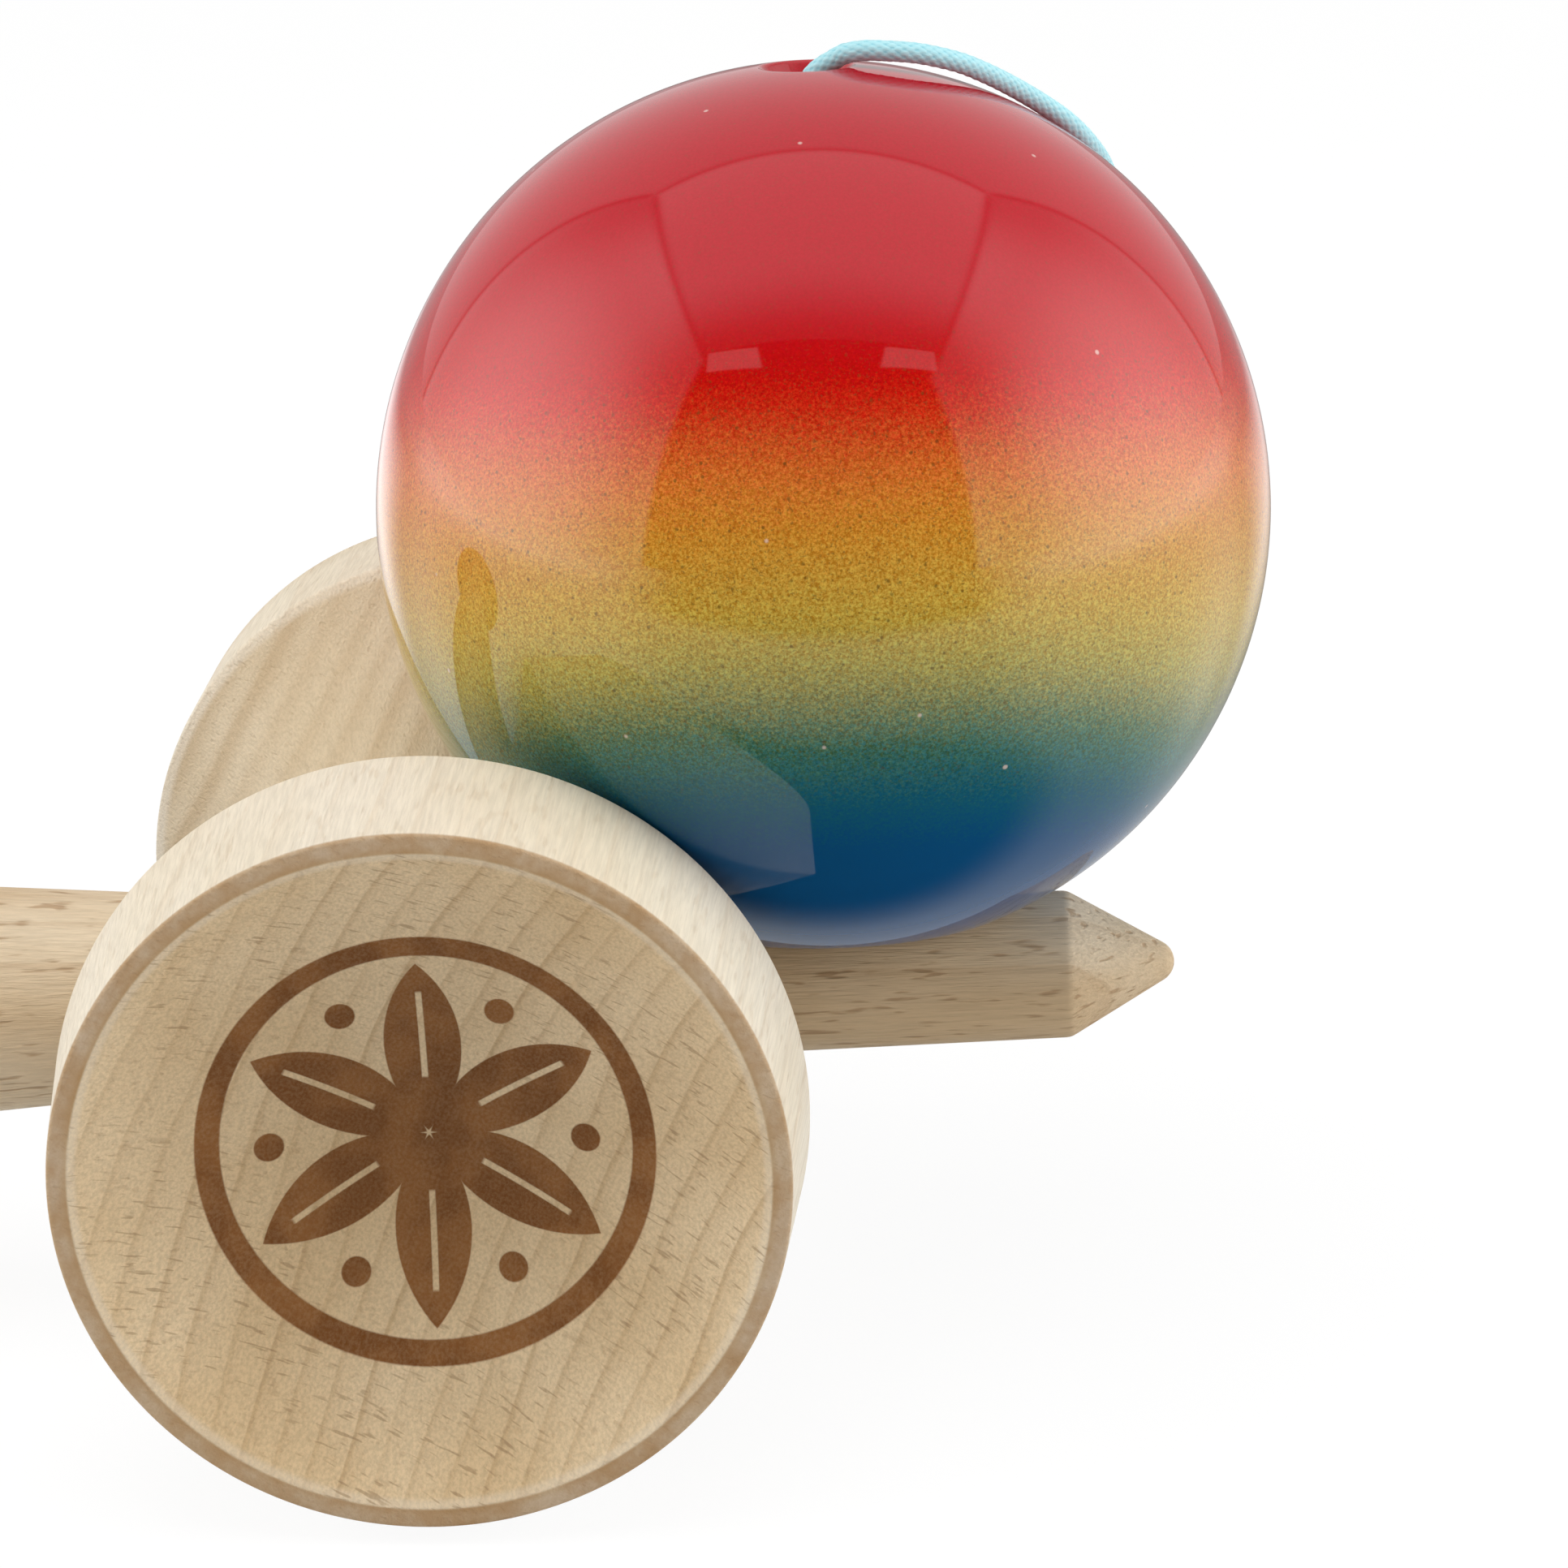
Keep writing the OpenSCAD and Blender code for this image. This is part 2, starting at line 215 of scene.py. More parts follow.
@dataclass(frozen=True)
class RestingPose:
    """How the toy lies: on the ridges of both cups and on the widest ring of the base cup."""

    sizes: Sizes

    @property
    def roll(self) -> float:
        """Slope of the cups' axis against the ground."""
        s = self.sizes
        return math.atan((s.small_ridge_d - s.big_ridge_d) / 2 / (s.big_ridge_y + s.small_ridge_y))

    @property
    def cross_z(self) -> float:
        """Height of the middle of the cross."""
        s = self.sizes
        return s.big_ridge_d / 2 * math.cos(self.roll) + s.big_ridge_y * math.sin(self.roll)

    @property
    def pitch(self) -> float:
        """Rise of the stick towards its spike."""
        s = self.sizes
        ridge_x = s.tail_len - s.base_wall
        reach = math.hypot(ridge_x, s.base_d / 2)
        return math.asin(self.cross_z / reach) - math.atan(s.base_d / 2 / ridge_x)

    @property
    def lean(self) -> float:
        """Turn of the toy about its stick."""
        return math.asin(math.sin(self.roll) / math.cos(self.pitch))

    @property
    def ball_at(self) -> Vector:
        """Middle of the ball in the toy's own frame."""
        s = self.sizes
        away = s.ball_r + s.rest_gap
        rise = s.spike_root_d / 2 + math.sqrt(s.ball_r**2 - s.mouth_r**2) + s.rest_gap
        z = rise / math.cos(math.radians(s.ball_back))
        ridges = ((s.big_ridge_d, s.big_ridge_y), (s.small_ridge_d, s.small_ridge_y))
        reach = max(d / 2 + math.sqrt(away**2 - y**2) for d, y in ridges)
        return Vector((math.sqrt(reach**2 - z**2), 0.0, z))

    @property
    def shift_x(self) -> float:
        """Place of the cross along X, with the outline's middle over the origin."""
        s, ball = self.sizes, self.ball_at
        left = -s.tail_len * math.cos(self.pitch) - s.base_rim_d / 2 * math.sin(self.pitch)
        ball_x = ball.x * math.cos(self.pitch) - ball.z * math.cos(self.lean) * math.sin(self.pitch)
        return -(left + ball_x + s.ball_r) / 2

    @property
    def turn(self) -> Matrix:
        """Turn from the toy's own frame to the ground's."""
        return Matrix.Rotation(-self.pitch, 3, "Y") @ Matrix.Rotation(self.lean, 3, "X")

    @property
    def ball_turn(self) -> Matrix:
        """Turn from the ball's own frame, with its axis along Z, to the toy's."""
        return Matrix.Rotation(-math.radians(self.sizes.ball_back), 3, "X")

    def place(self, p: Vector) -> Vector:
        """Brings a point of the toy's own frame to the ground, in millimetres."""
        return self.turn @ p + Vector((self.shift_x, 0.0, self.cross_z))

    def in_ball(self, p: Vector) -> Vector:
        """Brings a point of the ball's own frame to the ground, in millimetres."""
        return self.place(self.ball_at + self.ball_turn @ p)

    def matrix(self, at: Vector = ORIGIN) -> Matrix:
        """Gives the move in metres that sets a piece, with its origin in the toy's frame, in place."""
        return Matrix.Translation(self.place(at) * MM) @ self.turn.to_4x4()

    def ball_matrix(self, at: Vector = ORIGIN) -> Matrix:
        """Gives the move in metres that sets a piece, with its origin in the ball's frame, in place."""
        return Matrix.Translation(self.in_ball(at) * MM) @ (self.turn @ self.ball_turn).to_4x4()


class Outline:
    """Points of turned outlines."""

    @staticmethod
    def arc(mid: Point, r: float, start: float, end: float, steps: int) -> list[Point]:
        """Gives the points of an arc between two angles in radians, both ends included."""
        turns = [start + (end - start) * i / steps for i in range(steps + 1)]
        return [(mid[0] + r * math.cos(t), mid[1] + r * math.sin(t)) for t in turns]

    @staticmethod
    def eased(a: Point, b: Point, steps: int, ease: Callable[[float], float]) -> list[Point]:
        """Gives a curve from a point, left out, to another one, with a rise that runs from 0 to 1."""
        shares = [i / steps for i in range(1, steps + 1)]
        return [(a[0] + (b[0] - a[0]) * t, a[1] + (b[1] - a[1]) * ease(t)) for t in shares]

    @staticmethod
    def dish(edge: Point, r: float, side: int, steps: int) -> list[Point]:
        """Gives a round hollow from its edge, which is left out, to its middle.

        Args:
            edge: Place and radius of the edge.
            r: Radius of the hollow's own ball.
            side: 1 for a dish that gets deeper towards higher places, -1 for the other way.
            steps: Number of chords.

        Returns:
            The points in order.
        """
        off = math.sqrt(r**2 - edge[1] ** 2)
        radii = [edge[1] * (1 - i / steps) for i in range(1, steps + 1)]
        return [(edge[0] + side * (math.sqrt(r**2 - q * q) - off), q) for q in radii]

    @staticmethod
    def softened(points: list[Point], radii: dict[int, float], steps: int = 5) -> list[Point]:
        """Rounds chosen corners of an open outline.

        Args:
            points: The outline.
            radii: Rounding radius by the index of its corner.
            steps: Chords of each rounding.

        Returns:
            The outline with its roundings.
        """
        out: list[Point] = []
        for i, point in enumerate(points):
            if i not in radii:
                out.append(point)
                continue
            b = Vector(point)
            a, c = (Vector(points[i - 1]) - b).normalized(), (Vector(points[i + 1]) - b).normalized()
            half = a.angle(c) / 2
            mid = b + (a + c).normalized() * radii[i] / math.sin(half)
            first = b + a * radii[i] / math.tan(half) - mid
            last = b + c * radii[i] / math.tan(half) - mid
            turn = math.atan2(first.x * last.y - first.y * last.x, first.dot(last))
            at = math.atan2(first.y, first.x)
            out += Outline.arc((mid.x, mid.y), radii[i], at, at + turn, steps)
        return out

    @staticmethod
    def divided(points: list[Point], longest: float) -> list[Point]:
        """Cuts long chords of an outline into shorter ones.

        Args:
            points: The outline.
            longest: Longest chord that may stay.

        Returns:
            The outline with more points.
        """
        out = [points[0]]
        for a, b in zip(points, points[1:]):
            cuts = max(1, math.ceil(math.dist(a, b) / longest))
            out += Outline.eased(a, b, cuts, lambda t: t)
        return out


class Bench:
    """Modelling steps that the pieces share."""

    weld: float = 2e-6
    bore_sides: int = 64

    @staticmethod
    def clear() -> None:
        """Leaves nothing selected."""
        if bpy.context.object and bpy.context.object.mode != "OBJECT":
            bpy.ops.object.mode_set(mode="OBJECT")
        bpy.ops.object.select_all(action="DESELECT")

    @staticmethod
    def pick(piece: bpy.types.Object) -> None:
        """Makes a piece the only selected one.

        Args:
            piece: The piece.
        """
        Bench.clear()
        piece.select_set(True)
        bpy.context.view_layer.objects.active = piece

    @staticmethod
    def turned(name: str, points: list[Vector], axis: Axis, steps: int) -> bpy.types.Object:
        """Turns a line of points about an axis through the origin, as on a lathe.

        Args:
            name: Name of the new piece.
            points: The outline, in millimetres.
            axis: Axis of the lathe.
            steps: Facets of the full turn.

        Returns:
            The closed piece in its own frame, in metres.
        """
        Bench.clear()
        bpy.ops.mesh.primitive_circle_add(vertices=3, radius=MM)
        piece = bpy.context.object
        piece.name = piece.data.name = name
        bpy.ops.object.mode_set(mode="EDIT")
        bpy.ops.mesh.select_all(action="SELECT")
        bpy.ops.mesh.merge(type="CENTER")
        bpy.ops.transform.translate(value=points[0] * MM)
        for a, b in zip(points, points[1:]):
            bpy.ops.mesh.extrude_region_move(TRANSFORM_OT_translate={"value": (b - a) * MM})
        bpy.ops.mesh.select_all(action="SELECT")
        bpy.ops.mesh.spin(steps=steps, angle=math.tau, center=(0, 0, 0), axis=axis.value)
        bpy.ops.mesh.select_all(action="SELECT")
        bpy.ops.mesh.remove_doubles(threshold=Bench.weld)
        bpy.ops.mesh.normals_make_consistent(inside=False)
        bpy.ops.object.mode_set(mode="OBJECT")
        return piece

    @staticmethod
    def bored(piece: bpy.types.Object, start: Vector, end: Vector, r_start: float, r_end: float) -> None:
        """Bores a straight or tapered hole into a piece.

        Args:
            piece: The piece to bore.
            start: Middle of the bore's first end, in millimetres.
            end: Middle of its last end.
            r_start: Radius at the first end.
            r_end: Radius at the last end.
        """
        Bench.clear()
        way = end - start
        bpy.ops.mesh.primitive_cone_add(
            vertices=Bench.bore_sides, radius1=r_start * MM, radius2=r_end * MM, depth=way.length * MM,
            location=(start + end) / 2 * MM, rotation=way.to_track_quat("Z", "Y").to_euler(),
        )
        drill = bpy.context.object
        bpy.ops.object.transform_apply(location=True, rotation=True, scale=True)
        Bench.pick(piece)
        cut = piece.modifiers.new("bore", "BOOLEAN")
        cut.operation, cut.solver, cut.object = "DIFFERENCE", "EXACT", drill
        bpy.ops.object.modifier_apply(modifier=cut.name)
        bpy.data.objects.remove(drill, do_unlink=True)

    @staticmethod
    def settled(piece: bpy.types.Object, move: Matrix, sharp: float = 32.0) -> None:
        """Smooths a piece and puts its place into its mesh.

        Args:
            piece: The finished piece.
            move: Its place in the shared frame.
            sharp: Angle in degrees past which an edge stays sharp.
        """
        Bench.pick(piece)
        piece.matrix_world = move
        bpy.ops.object.transform_apply(location=True, rotation=True, scale=True)
        bpy.ops.object.shade_smooth_by_angle(angle=math.radians(sharp))

    @staticmethod
    def tube(name: str, line: list[Vector], r: float, sides: int, relief: "Braid | None") -> bpy.types.Object:
        """Makes a round tube along a line, with its own UV map and, for a cord, a braided skin.

        Args:
            name: Name of the new piece.
            line: Middle line, in metres.
            r: Radius, in metres.
            sides: Facets around the tube.
            relief: The braid, or None for a plain skin.

        Returns:
            The closed tube.
        """
        side = Vector((0.31, 0.9, 0.27))
        verts: list[Vector] = []
        heights: list[float] = []
        run = [0.0]
        for a, b in zip(line, line[1:]):
            run.append(run[-1] + (b - a).length)
        for i, p in enumerate(line):
            way = (line[min(i + 1, len(line) - 1)] - line[max(i - 1, 0)]).normalized()
            side = (side - way * side.dot(way)).normalized()
            other = way.cross(side)
            for k in range(sides):
                t = math.tau * k / sides
                h = relief.height(k / sides, run[i]) if relief else 0.5
                out = r + (relief.depth * (h - relief.level) if relief else 0.0)
                verts.append(p + (side * math.cos(t) + other * math.sin(t)) * out)
                heights.append(h)
        last = (len(line) - 1) * sides
        faces = [tuple(range(sides - 1, -1, -1)), tuple(range(last, last + sides))]
        for i in range(len(line) - 1):
            a, b = i * sides, (i + 1) * sides
            faces += [(a + k, a + (k + 1) % sides, b + (k + 1) % sides, b + k) for k in range(sides)]
        mesh = bpy.data.meshes.new(name)
        mesh.from_pydata(verts, [], faces)
        around = mesh.uv_layers.new(name="UVMap")
        for face in mesh.polygons[2:]:
            ring, k = divmod(face.index - 2, sides)
            corners = ((k, ring), (k + 1, ring), (k + 1, ring + 1), (k, ring + 1))
            for loop, (u, v) in zip(face.loop_indices, corners):
                around.data[loop].uv = (u / sides, run[v] / (math.tau * r))
        skin = mesh.attributes.new("relief", "FLOAT", "POINT")
        skin.data.foreach_set("value", heights)
        mesh.shade_smooth()
        piece = bpy.data.objects.new(name, mesh)
        bpy.context.scene.collection.objects.link(piece)
        return piece


@dataclass(frozen=True)
class Value:
    """A number in a node tree, with the signs of arithmetic."""

    g: "Graph"
    socket: bpy.types.NodeSocket

    def __add__(self, other: object) -> "Value":
        """Adds another number."""
        return self.g.math("ADD", self, other)

    def __sub__(self, other: object) -> "Value":
        """Takes another number away."""
        return self.g.math("SUBTRACT", self, other)

    def __rsub__(self, other: object) -> "Value":
        """Takes this number away from another one."""
        return self.g.math("SUBTRACT", other, self)

    def __mul__(self, other: object) -> "Value":
        """Multiplies with another number."""
        return self.g.math("MULTIPLY", self, other)

    def __truediv__(self, other: object) -> "Value":
        """Divides by another number."""
        return self.g.math("DIVIDE", self, other)

    def __lt__(self, other: object) -> "Value":
        """Gives 1 where this number is smaller than another one, or else 0."""
        return self.g.math("LESS_THAN", self, other)

    def __gt__(self, other: object) -> "Value":
        """Gives 1 where this number is larger than another one, or else 0."""
        return self.g.math("GREATER_THAN", self, other)

    def __abs__(self) -> "Value":
        """Drops the sign."""
        return self.g.math("ABSOLUTE", self)

    def band(self, low: float, high: float, at_low: float = 0.0, at_high: float = 1.0) -> "Value":
        """Gives a smooth step between two places, from its value at the first to that at the second."""
        read = {"Value": self, "From Min": low, "From Max": high, "To Min": at_low, "To Max": at_high}
        return self.g.read(self.g.node("ShaderNodeMapRange", read, interpolation_type="SMOOTHSTEP"))

    def fall(self, low: float, high: float) -> "Value":
        """Gives a smooth step down from 1 to 0."""
        return self.band(low, high, 1.0, 0.0)


class Graph:
    """A node tree with short calls for the nodes that the finishes use."""

    def __init__(self, tree: bpy.types.NodeTree) -> None:
        """Takes the tree of a material, a group or the world and empties it."""
        self.tree = tree
        tree.nodes.clear()

    def node(self, kind: str, inputs: dict | None = None, **values: object) -> bpy.types.Node:
        """Adds a node.

        Args:
            kind: Blender's name of the node type.
            inputs: Constants, numbers or sockets by the input's name or index.
            values: Properties of the node itself.

        Returns:
            The new node.
        """
        made = self.tree.nodes.new(kind)
        for name, value in values.items():
            setattr(made, name, value)
        for name, value in (inputs or {}).items():
            self.feed(made.inputs[name], value)
        return made

    def feed(self, socket: bpy.types.NodeSocket, value: object) -> None:
        """Links a socket to another one, or sets its own value.

        Args:
            socket: The input.
            value: A number of the tree or a socket to link, or a constant.
        """
        value = value.socket if isinstance(value, Value) else value
        if isinstance(value, bpy.types.NodeSocket):
            self.tree.links.new(value, socket)
        elif socket.type == "RGBA":
            socket.default_value = (*value, 1.0)
        else:
            socket.default_value = value

    def read(self, node: bpy.types.Node, output: int | str = 0) -> Value:
        """Gives one output of a node as a number."""
        return Value(self, node.outputs[output])

    def outputs(self, node: bpy.types.Node) -> dict[str, Value]:
        """Gives all outputs of a node by name."""
        return {out.name: Value(self, out) for out in node.outputs}

    def parts(self, where: object) -> tuple[Value, ...]:
        """Splits a vector or a colour into its three numbers."""
        return tuple(self.outputs(self.node("ShaderNodeSeparateXYZ", {0: where})).values())

    def math(self, what: str, a: object, b: object = 0.0) -> Value:
        """Gives the result of a Math node."""
        return self.read(self.node("ShaderNodeMath", {0: a, 1: b}, operation=what))

    def most(self, *values: object) -> Value:
        """Gives the largest of some numbers."""
        return reduce(lambda a, b: self.math("MAXIMUM", a, b), values)

    def hypot(self, a: Value, b: Value) -> Value:
        """Gives the distance that two numbers at right angles make."""
        return self.math("SQRT", a * a + b * b)

    def noise(self, where: object, scale: float | Triple, detail: float = 2.0, rough: float = 0.5) -> Value:
        """Gives a noise value.

        Args:
            where: The coordinates.
            scale: Waves for each unit of length, for all axes or for each of them.
            detail: Octaves.
            rough: Weight of the finer octaves.

        Returns:
            The value.
        """
        if isinstance(scale, tuple):
            stretch = self.node("ShaderNodeVectorMath", {0: where, 1: scale}, operation="MULTIPLY")
            where, scale = stretch.outputs[0], 1.0
        read = {"Vector": where, "Scale": scale, "Detail": detail, "Roughness": rough}
        return self.read(self.node("ShaderNodeTexNoise", read))

    def spots(self, where: object, scale: float, edge: Point, share: float) -> Value:
        """Gives the mask of round spots with a soft edge in some cells, those with a draw over a share."""
        cells = self.outputs(self.node("ShaderNodeTexVoronoi", {"Vector": where, "Scale": scale}, feature="F1"))
        return cells["Distance"].fall(*edge) * (self.parts(cells["Color"])[0] > share)

    def mix(self, share: object, a: object, b: object, how: str = "MIX") -> bpy.types.NodeSocket:
        """Mixes two colours by the share of the second one."""
        made = self.node("ShaderNodeMix", {0: share, 6: a, 7: b}, data_type="RGBA", blend_type=how)
        return made.outputs[2]

    def shaded(self, colour: object, *shares: Value) -> bpy.types.NodeSocket:
        """Multiplies a colour's red, green and blue with a number each."""
        shade = self.node("ShaderNodeCombineColor", dict(enumerate(shares)))
        return self.mix(1.0, colour, shade.outputs[0], "MULTIPLY")

    def ramp(self, value: Value, stops: list[tuple[float, Colour]]) -> bpy.types.NodeSocket:
        """Reads a colour ramp.

        Args:
            value: Place on the ramp, from 0 to 1.
            stops: Places and their colours.

        Returns:
            The colour's socket.
        """
        made = self.node("ShaderNodeValToRGB", {0: value})
        marks = made.color_ramp.elements
        for mark, (at, colour) in zip(marks, (stops[0], stops[-1])):
            mark.position, mark.color = at, (*colour, 1.0)
        for at, colour in stops[1:-1]:
            marks.new(at).color = (*colour, 1.0)
        return made.outputs[0]

    def coordinates(self, kind: str = "Object") -> bpy.types.NodeSocket:
        """Gives texture coordinates."""
        return self.node("ShaderNodeTexCoord").outputs[kind]

    def own_frame(self, at: Vector, turn: Matrix) -> bpy.types.NodeSocket:
        """Gives coordinates, in metres, in a frame with its origin in millimetres and its turn."""
        read = {"Vector": self.coordinates(), "Location": at * MM, "Rotation": turn.to_euler("XYZ")}
        return self.node("ShaderNodeMapping", read, vector_type="TEXTURE").outputs[0]

    def group(self, tree: bpy.types.NodeTree, inputs: dict) -> dict[str, Value]:
        """Places a shared node group and gives its outputs by name."""
        return self.outputs(self.node("ShaderNodeGroup", inputs, node_tree=tree))

    def shader(self, kind: str, colour: object, strength: object = 1.0) -> bpy.types.NodeSocket:
        """Gives a shader that has a colour and a strength."""
        return self.node(kind, {"Color": colour, "Strength": strength}).outputs[0]

    def either(self, share: Value, a: object, b: object) -> bpy.types.NodeSocket:
        """Mixes two shaders by the share of the second one."""
        return self.node("ShaderNodeMixShader", {0: share, 1: a, 2: b}).outputs[0]

    def surface(self, colour: object, rough: object, height: Value, depth: float, **fixed: float) -> None:
        """Ends a material in one Principled shader.

        Args:
            colour: Base colour.
            rough: Roughness.
            height: Height for the bump.
            depth: Depth of the bump, in metres.
            fixed: Constant values of the shader's other sockets, with underscores for spaces.
        """
        bump = self.node("ShaderNodeBump", {"Height": height, "Strength": 1.0, "Distance": depth})
        look = {"Base Color": colour, "Roughness": rough, "Normal": bump.outputs[0]}
        look |= {name.replace("_", " "): value for name, value in fixed.items()}
        shader = self.node("ShaderNodeBsdfPrincipled", look)
        self.node("ShaderNodeOutputMaterial", {0: shader.outputs[0]})


class Patterns:
    """Node groups that several finishes share."""

    @staticmethod
    def start(name: str, inputs: dict[str, str], outputs: list[str]) -> tuple[Graph, dict[str, Value]]:
        """Opens a new group.

        Args:
            name: Name of the group.
            inputs: Socket types by name, without the words that all of them start with.
            outputs: Names of the values that it puts out.

        Returns:
            The group's graph and its inputs by name.
        """
        tree = bpy.data.node_groups.new(name, "ShaderNodeTree")
        for key, kind in inputs.items():
            tree.interface.new_socket(key, in_out="INPUT", socket_type=f"NodeSocket{kind}")
        for key in outputs:
            tree.interface.new_socket(key, in_out="OUTPUT", socket_type="NodeSocketFloat")
        graph = Graph(tree)
        return graph, graph.outputs(graph.node("NodeGroupInput"))

    @staticmethod
    def beech() -> bpy.types.NodeTree:
        """Makes the wood's figure, with its fibres along X and its rings stacked along Y.

        Returns:
            A group that puts out masks of the sharp rings, soft bands, rays, fibres, cloud and a height.
        """
        kinds = {"Place": "Vector", "Ring Gap": "Float", "Bend": "Float"}
        names = ["Rings", "Bands", "Rays", "Fibres", "Cloud", "Height"]
        g, given = Patterns.start("beech figure", kinds, names)
        place = given["Place"]
        _, out, across = g.parts(place)
        wander = g.noise(place, (9, 38, 38)) * 0.0042
        year = (out + across * across * given["Bend"] + wander) / given["Ring Gap"]
        part = g.math("FRACT", year)
        late = (part.band(0.76, 0.92) * 0.65 + part.band(0.2, 0.9) * 0.35) * part.fall(0.94, 1.0)
        swell = part.band(0.15, 0.7) * part.fall(0.75, 1.0)
        count = g.node("ShaderNodeCombineXYZ", {1: g.math("FLOOR", year)}).outputs[0]
        weight = g.noise(count, 0.73, 0.0)
        rings = late * weight.band(0.3, 0.7, 0.35, 1.0)
        bands = swell * weight.band(0.3, 0.7, 0.25, 1.0)
        rays = g.noise(place, (360, 1500, 2700), 1.5).band(0.57, 0.72)
        fibres = g.noise(place, (210, 4600, 4600), 3.0, 0.6)
        cloud = g.noise(place, (20, 70, 70), 3.0)
        height = fibres * 0.7 - rings * 0.16 - rays * 0.25
        g.node("NodeGroupOutput", dict(zip(names, (rings, bands, rays, fibres, cloud, height))))
        return g.tree

    @staticmethod
    def rosette() -> bpy.types.NodeTree:
        """Makes a six-petalled compass rosette in a plane.

        Returns:
            A group that puts out the mask of the petals, dots and ring.
        """
        kinds = {"Across": "Float", "Up": "Float", "Reach": "Float"}
        g, given = Patterns.start("compass rosette", kinds, ["Mask"])
        x, z = given["Across"] / given["Reach"], given["Up"] / given["Reach"]
        r = g.hypot(x, z)
        sixth, petal_r, ring_r, dots_r = math.tau / 6, 0.72, 1.1, 0.8
        turn = g.math("ARCTAN2", z, x) + (math.tau + sixth)
        fold = g.math("FLOORED_MODULO", turn, sixth) - sixth / 2
        along, beside = r * g.math("COSINE", fold), abs(r * g.math("SINE", fold))
        inside = petal_r - g.hypot(along - 0.5, beside + math.sqrt(petal_r**2 - 0.25))
        vein = beside.fall(0.012, 0.02) * r.band(0.3, 0.32) * r.fall(0.8, 0.82)
        petal = inside.band(0.004, 0.012) * r.fall(0.985, 0.995) * (1.0 - vein)
        ring = abs(r - ring_r).fall(0.055, 0.067)
        between = g.math("FLOORED_MODULO", turn + sixth / 2, sixth) - sixth / 2
        off = r * g.math("COSINE", between) - dots_r
        dot = g.hypot(off, r * g.math("SINE", between)).fall(0.07, 0.08)
        g.node("NodeGroupOutput", {"Mask": g.most(petal, ring, dot)})
        return g.tree


@dataclass(frozen=True)
class BeechFinish:
    """Bare turned beech."""

    pale: Colour = (0.79, 0.665, 0.49)
    warm: Colour = (0.63, 0.46, 0.275)
    ring: Colour = (0.50, 0.33, 0.18)
    ray: Colour = (0.36, 0.21, 0.10)
    streak: float = 0.085

    def figure(
        self, g: Graph, wood: dict[str, Value], rings: float, rays: float, lines: str = "Rings"
    ) -> bpy.types.NodeSocket:
        """Colours the wood's figure.

        Args:
            g: Graph of the material.
            wood: Outputs of the placed figure group.
            rings: Strength of the growth rings.
            rays: Strength of the ray flecks.
            lines: The mask that draws the rings, sharp Rings or soft Bands.

        Returns:
            The colour's socket.
        """
        base = g.mix(wood["Cloud"].band(0.35, 0.68), self.pale, self.warm)
        base = g.mix(wood[lines] * rings, base, self.ring)
        base = g.mix(wood["Rays"] * rays, base, self.ray)
        shade = wood["Fibres"].band(0.3, 0.7, 1.0 - self.streak, 1.0 + self.streak * 0.6)
        return g.shaded(base, shade, shade, shade)


@dataclass
class Workshop:
    """What all sub-assemblies share: sizes, resting pose, patterns and finishes."""

    sizes: Sizes
    pose: RestingPose
    figure: bpy.types.NodeTree
    rosette: bpy.types.NodeTree
    beech: BeechFinish

    def wood(self, g: Graph, place: object, gap: float, bend: float) -> dict[str, Value]:
        """Places the beech figure, with the gap of its rings in metres and their bend."""
        return g.group(self.figure, {"Place": place, "Ring Gap": gap, "Bend": bend})

    def adopt(self, piece: bpy.types.Object, body: Body, slot: Slot, *nodes: str) -> None:
        """Hands a finished piece to its body and hides the CAD nodes that it stands for.

        Args:
            piece: The piece.
            body: Body that it moves with.
            slot: Material slot of the record; not used.
            nodes: CAD nodes that it stands for.
        """
        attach(piece, body.value)
        if nodes:
            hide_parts(*nodes)
        LOG.info("%s: %d faces on %s", piece.name, len(piece.data.polygons), body.value)


def material(piece: bpy.types.Object, name: str) -> Graph:
    """Gives a piece a new material.

    Args:
        piece: The piece.
        name: Name of the material.

    Returns:
        The material's empty graph.
    """
    made = bpy.data.materials.new(name)
    made.use_nodes = True
    piece.data.materials.clear()
    piece.data.materials.append(made)
    return Graph(made.node_tree)


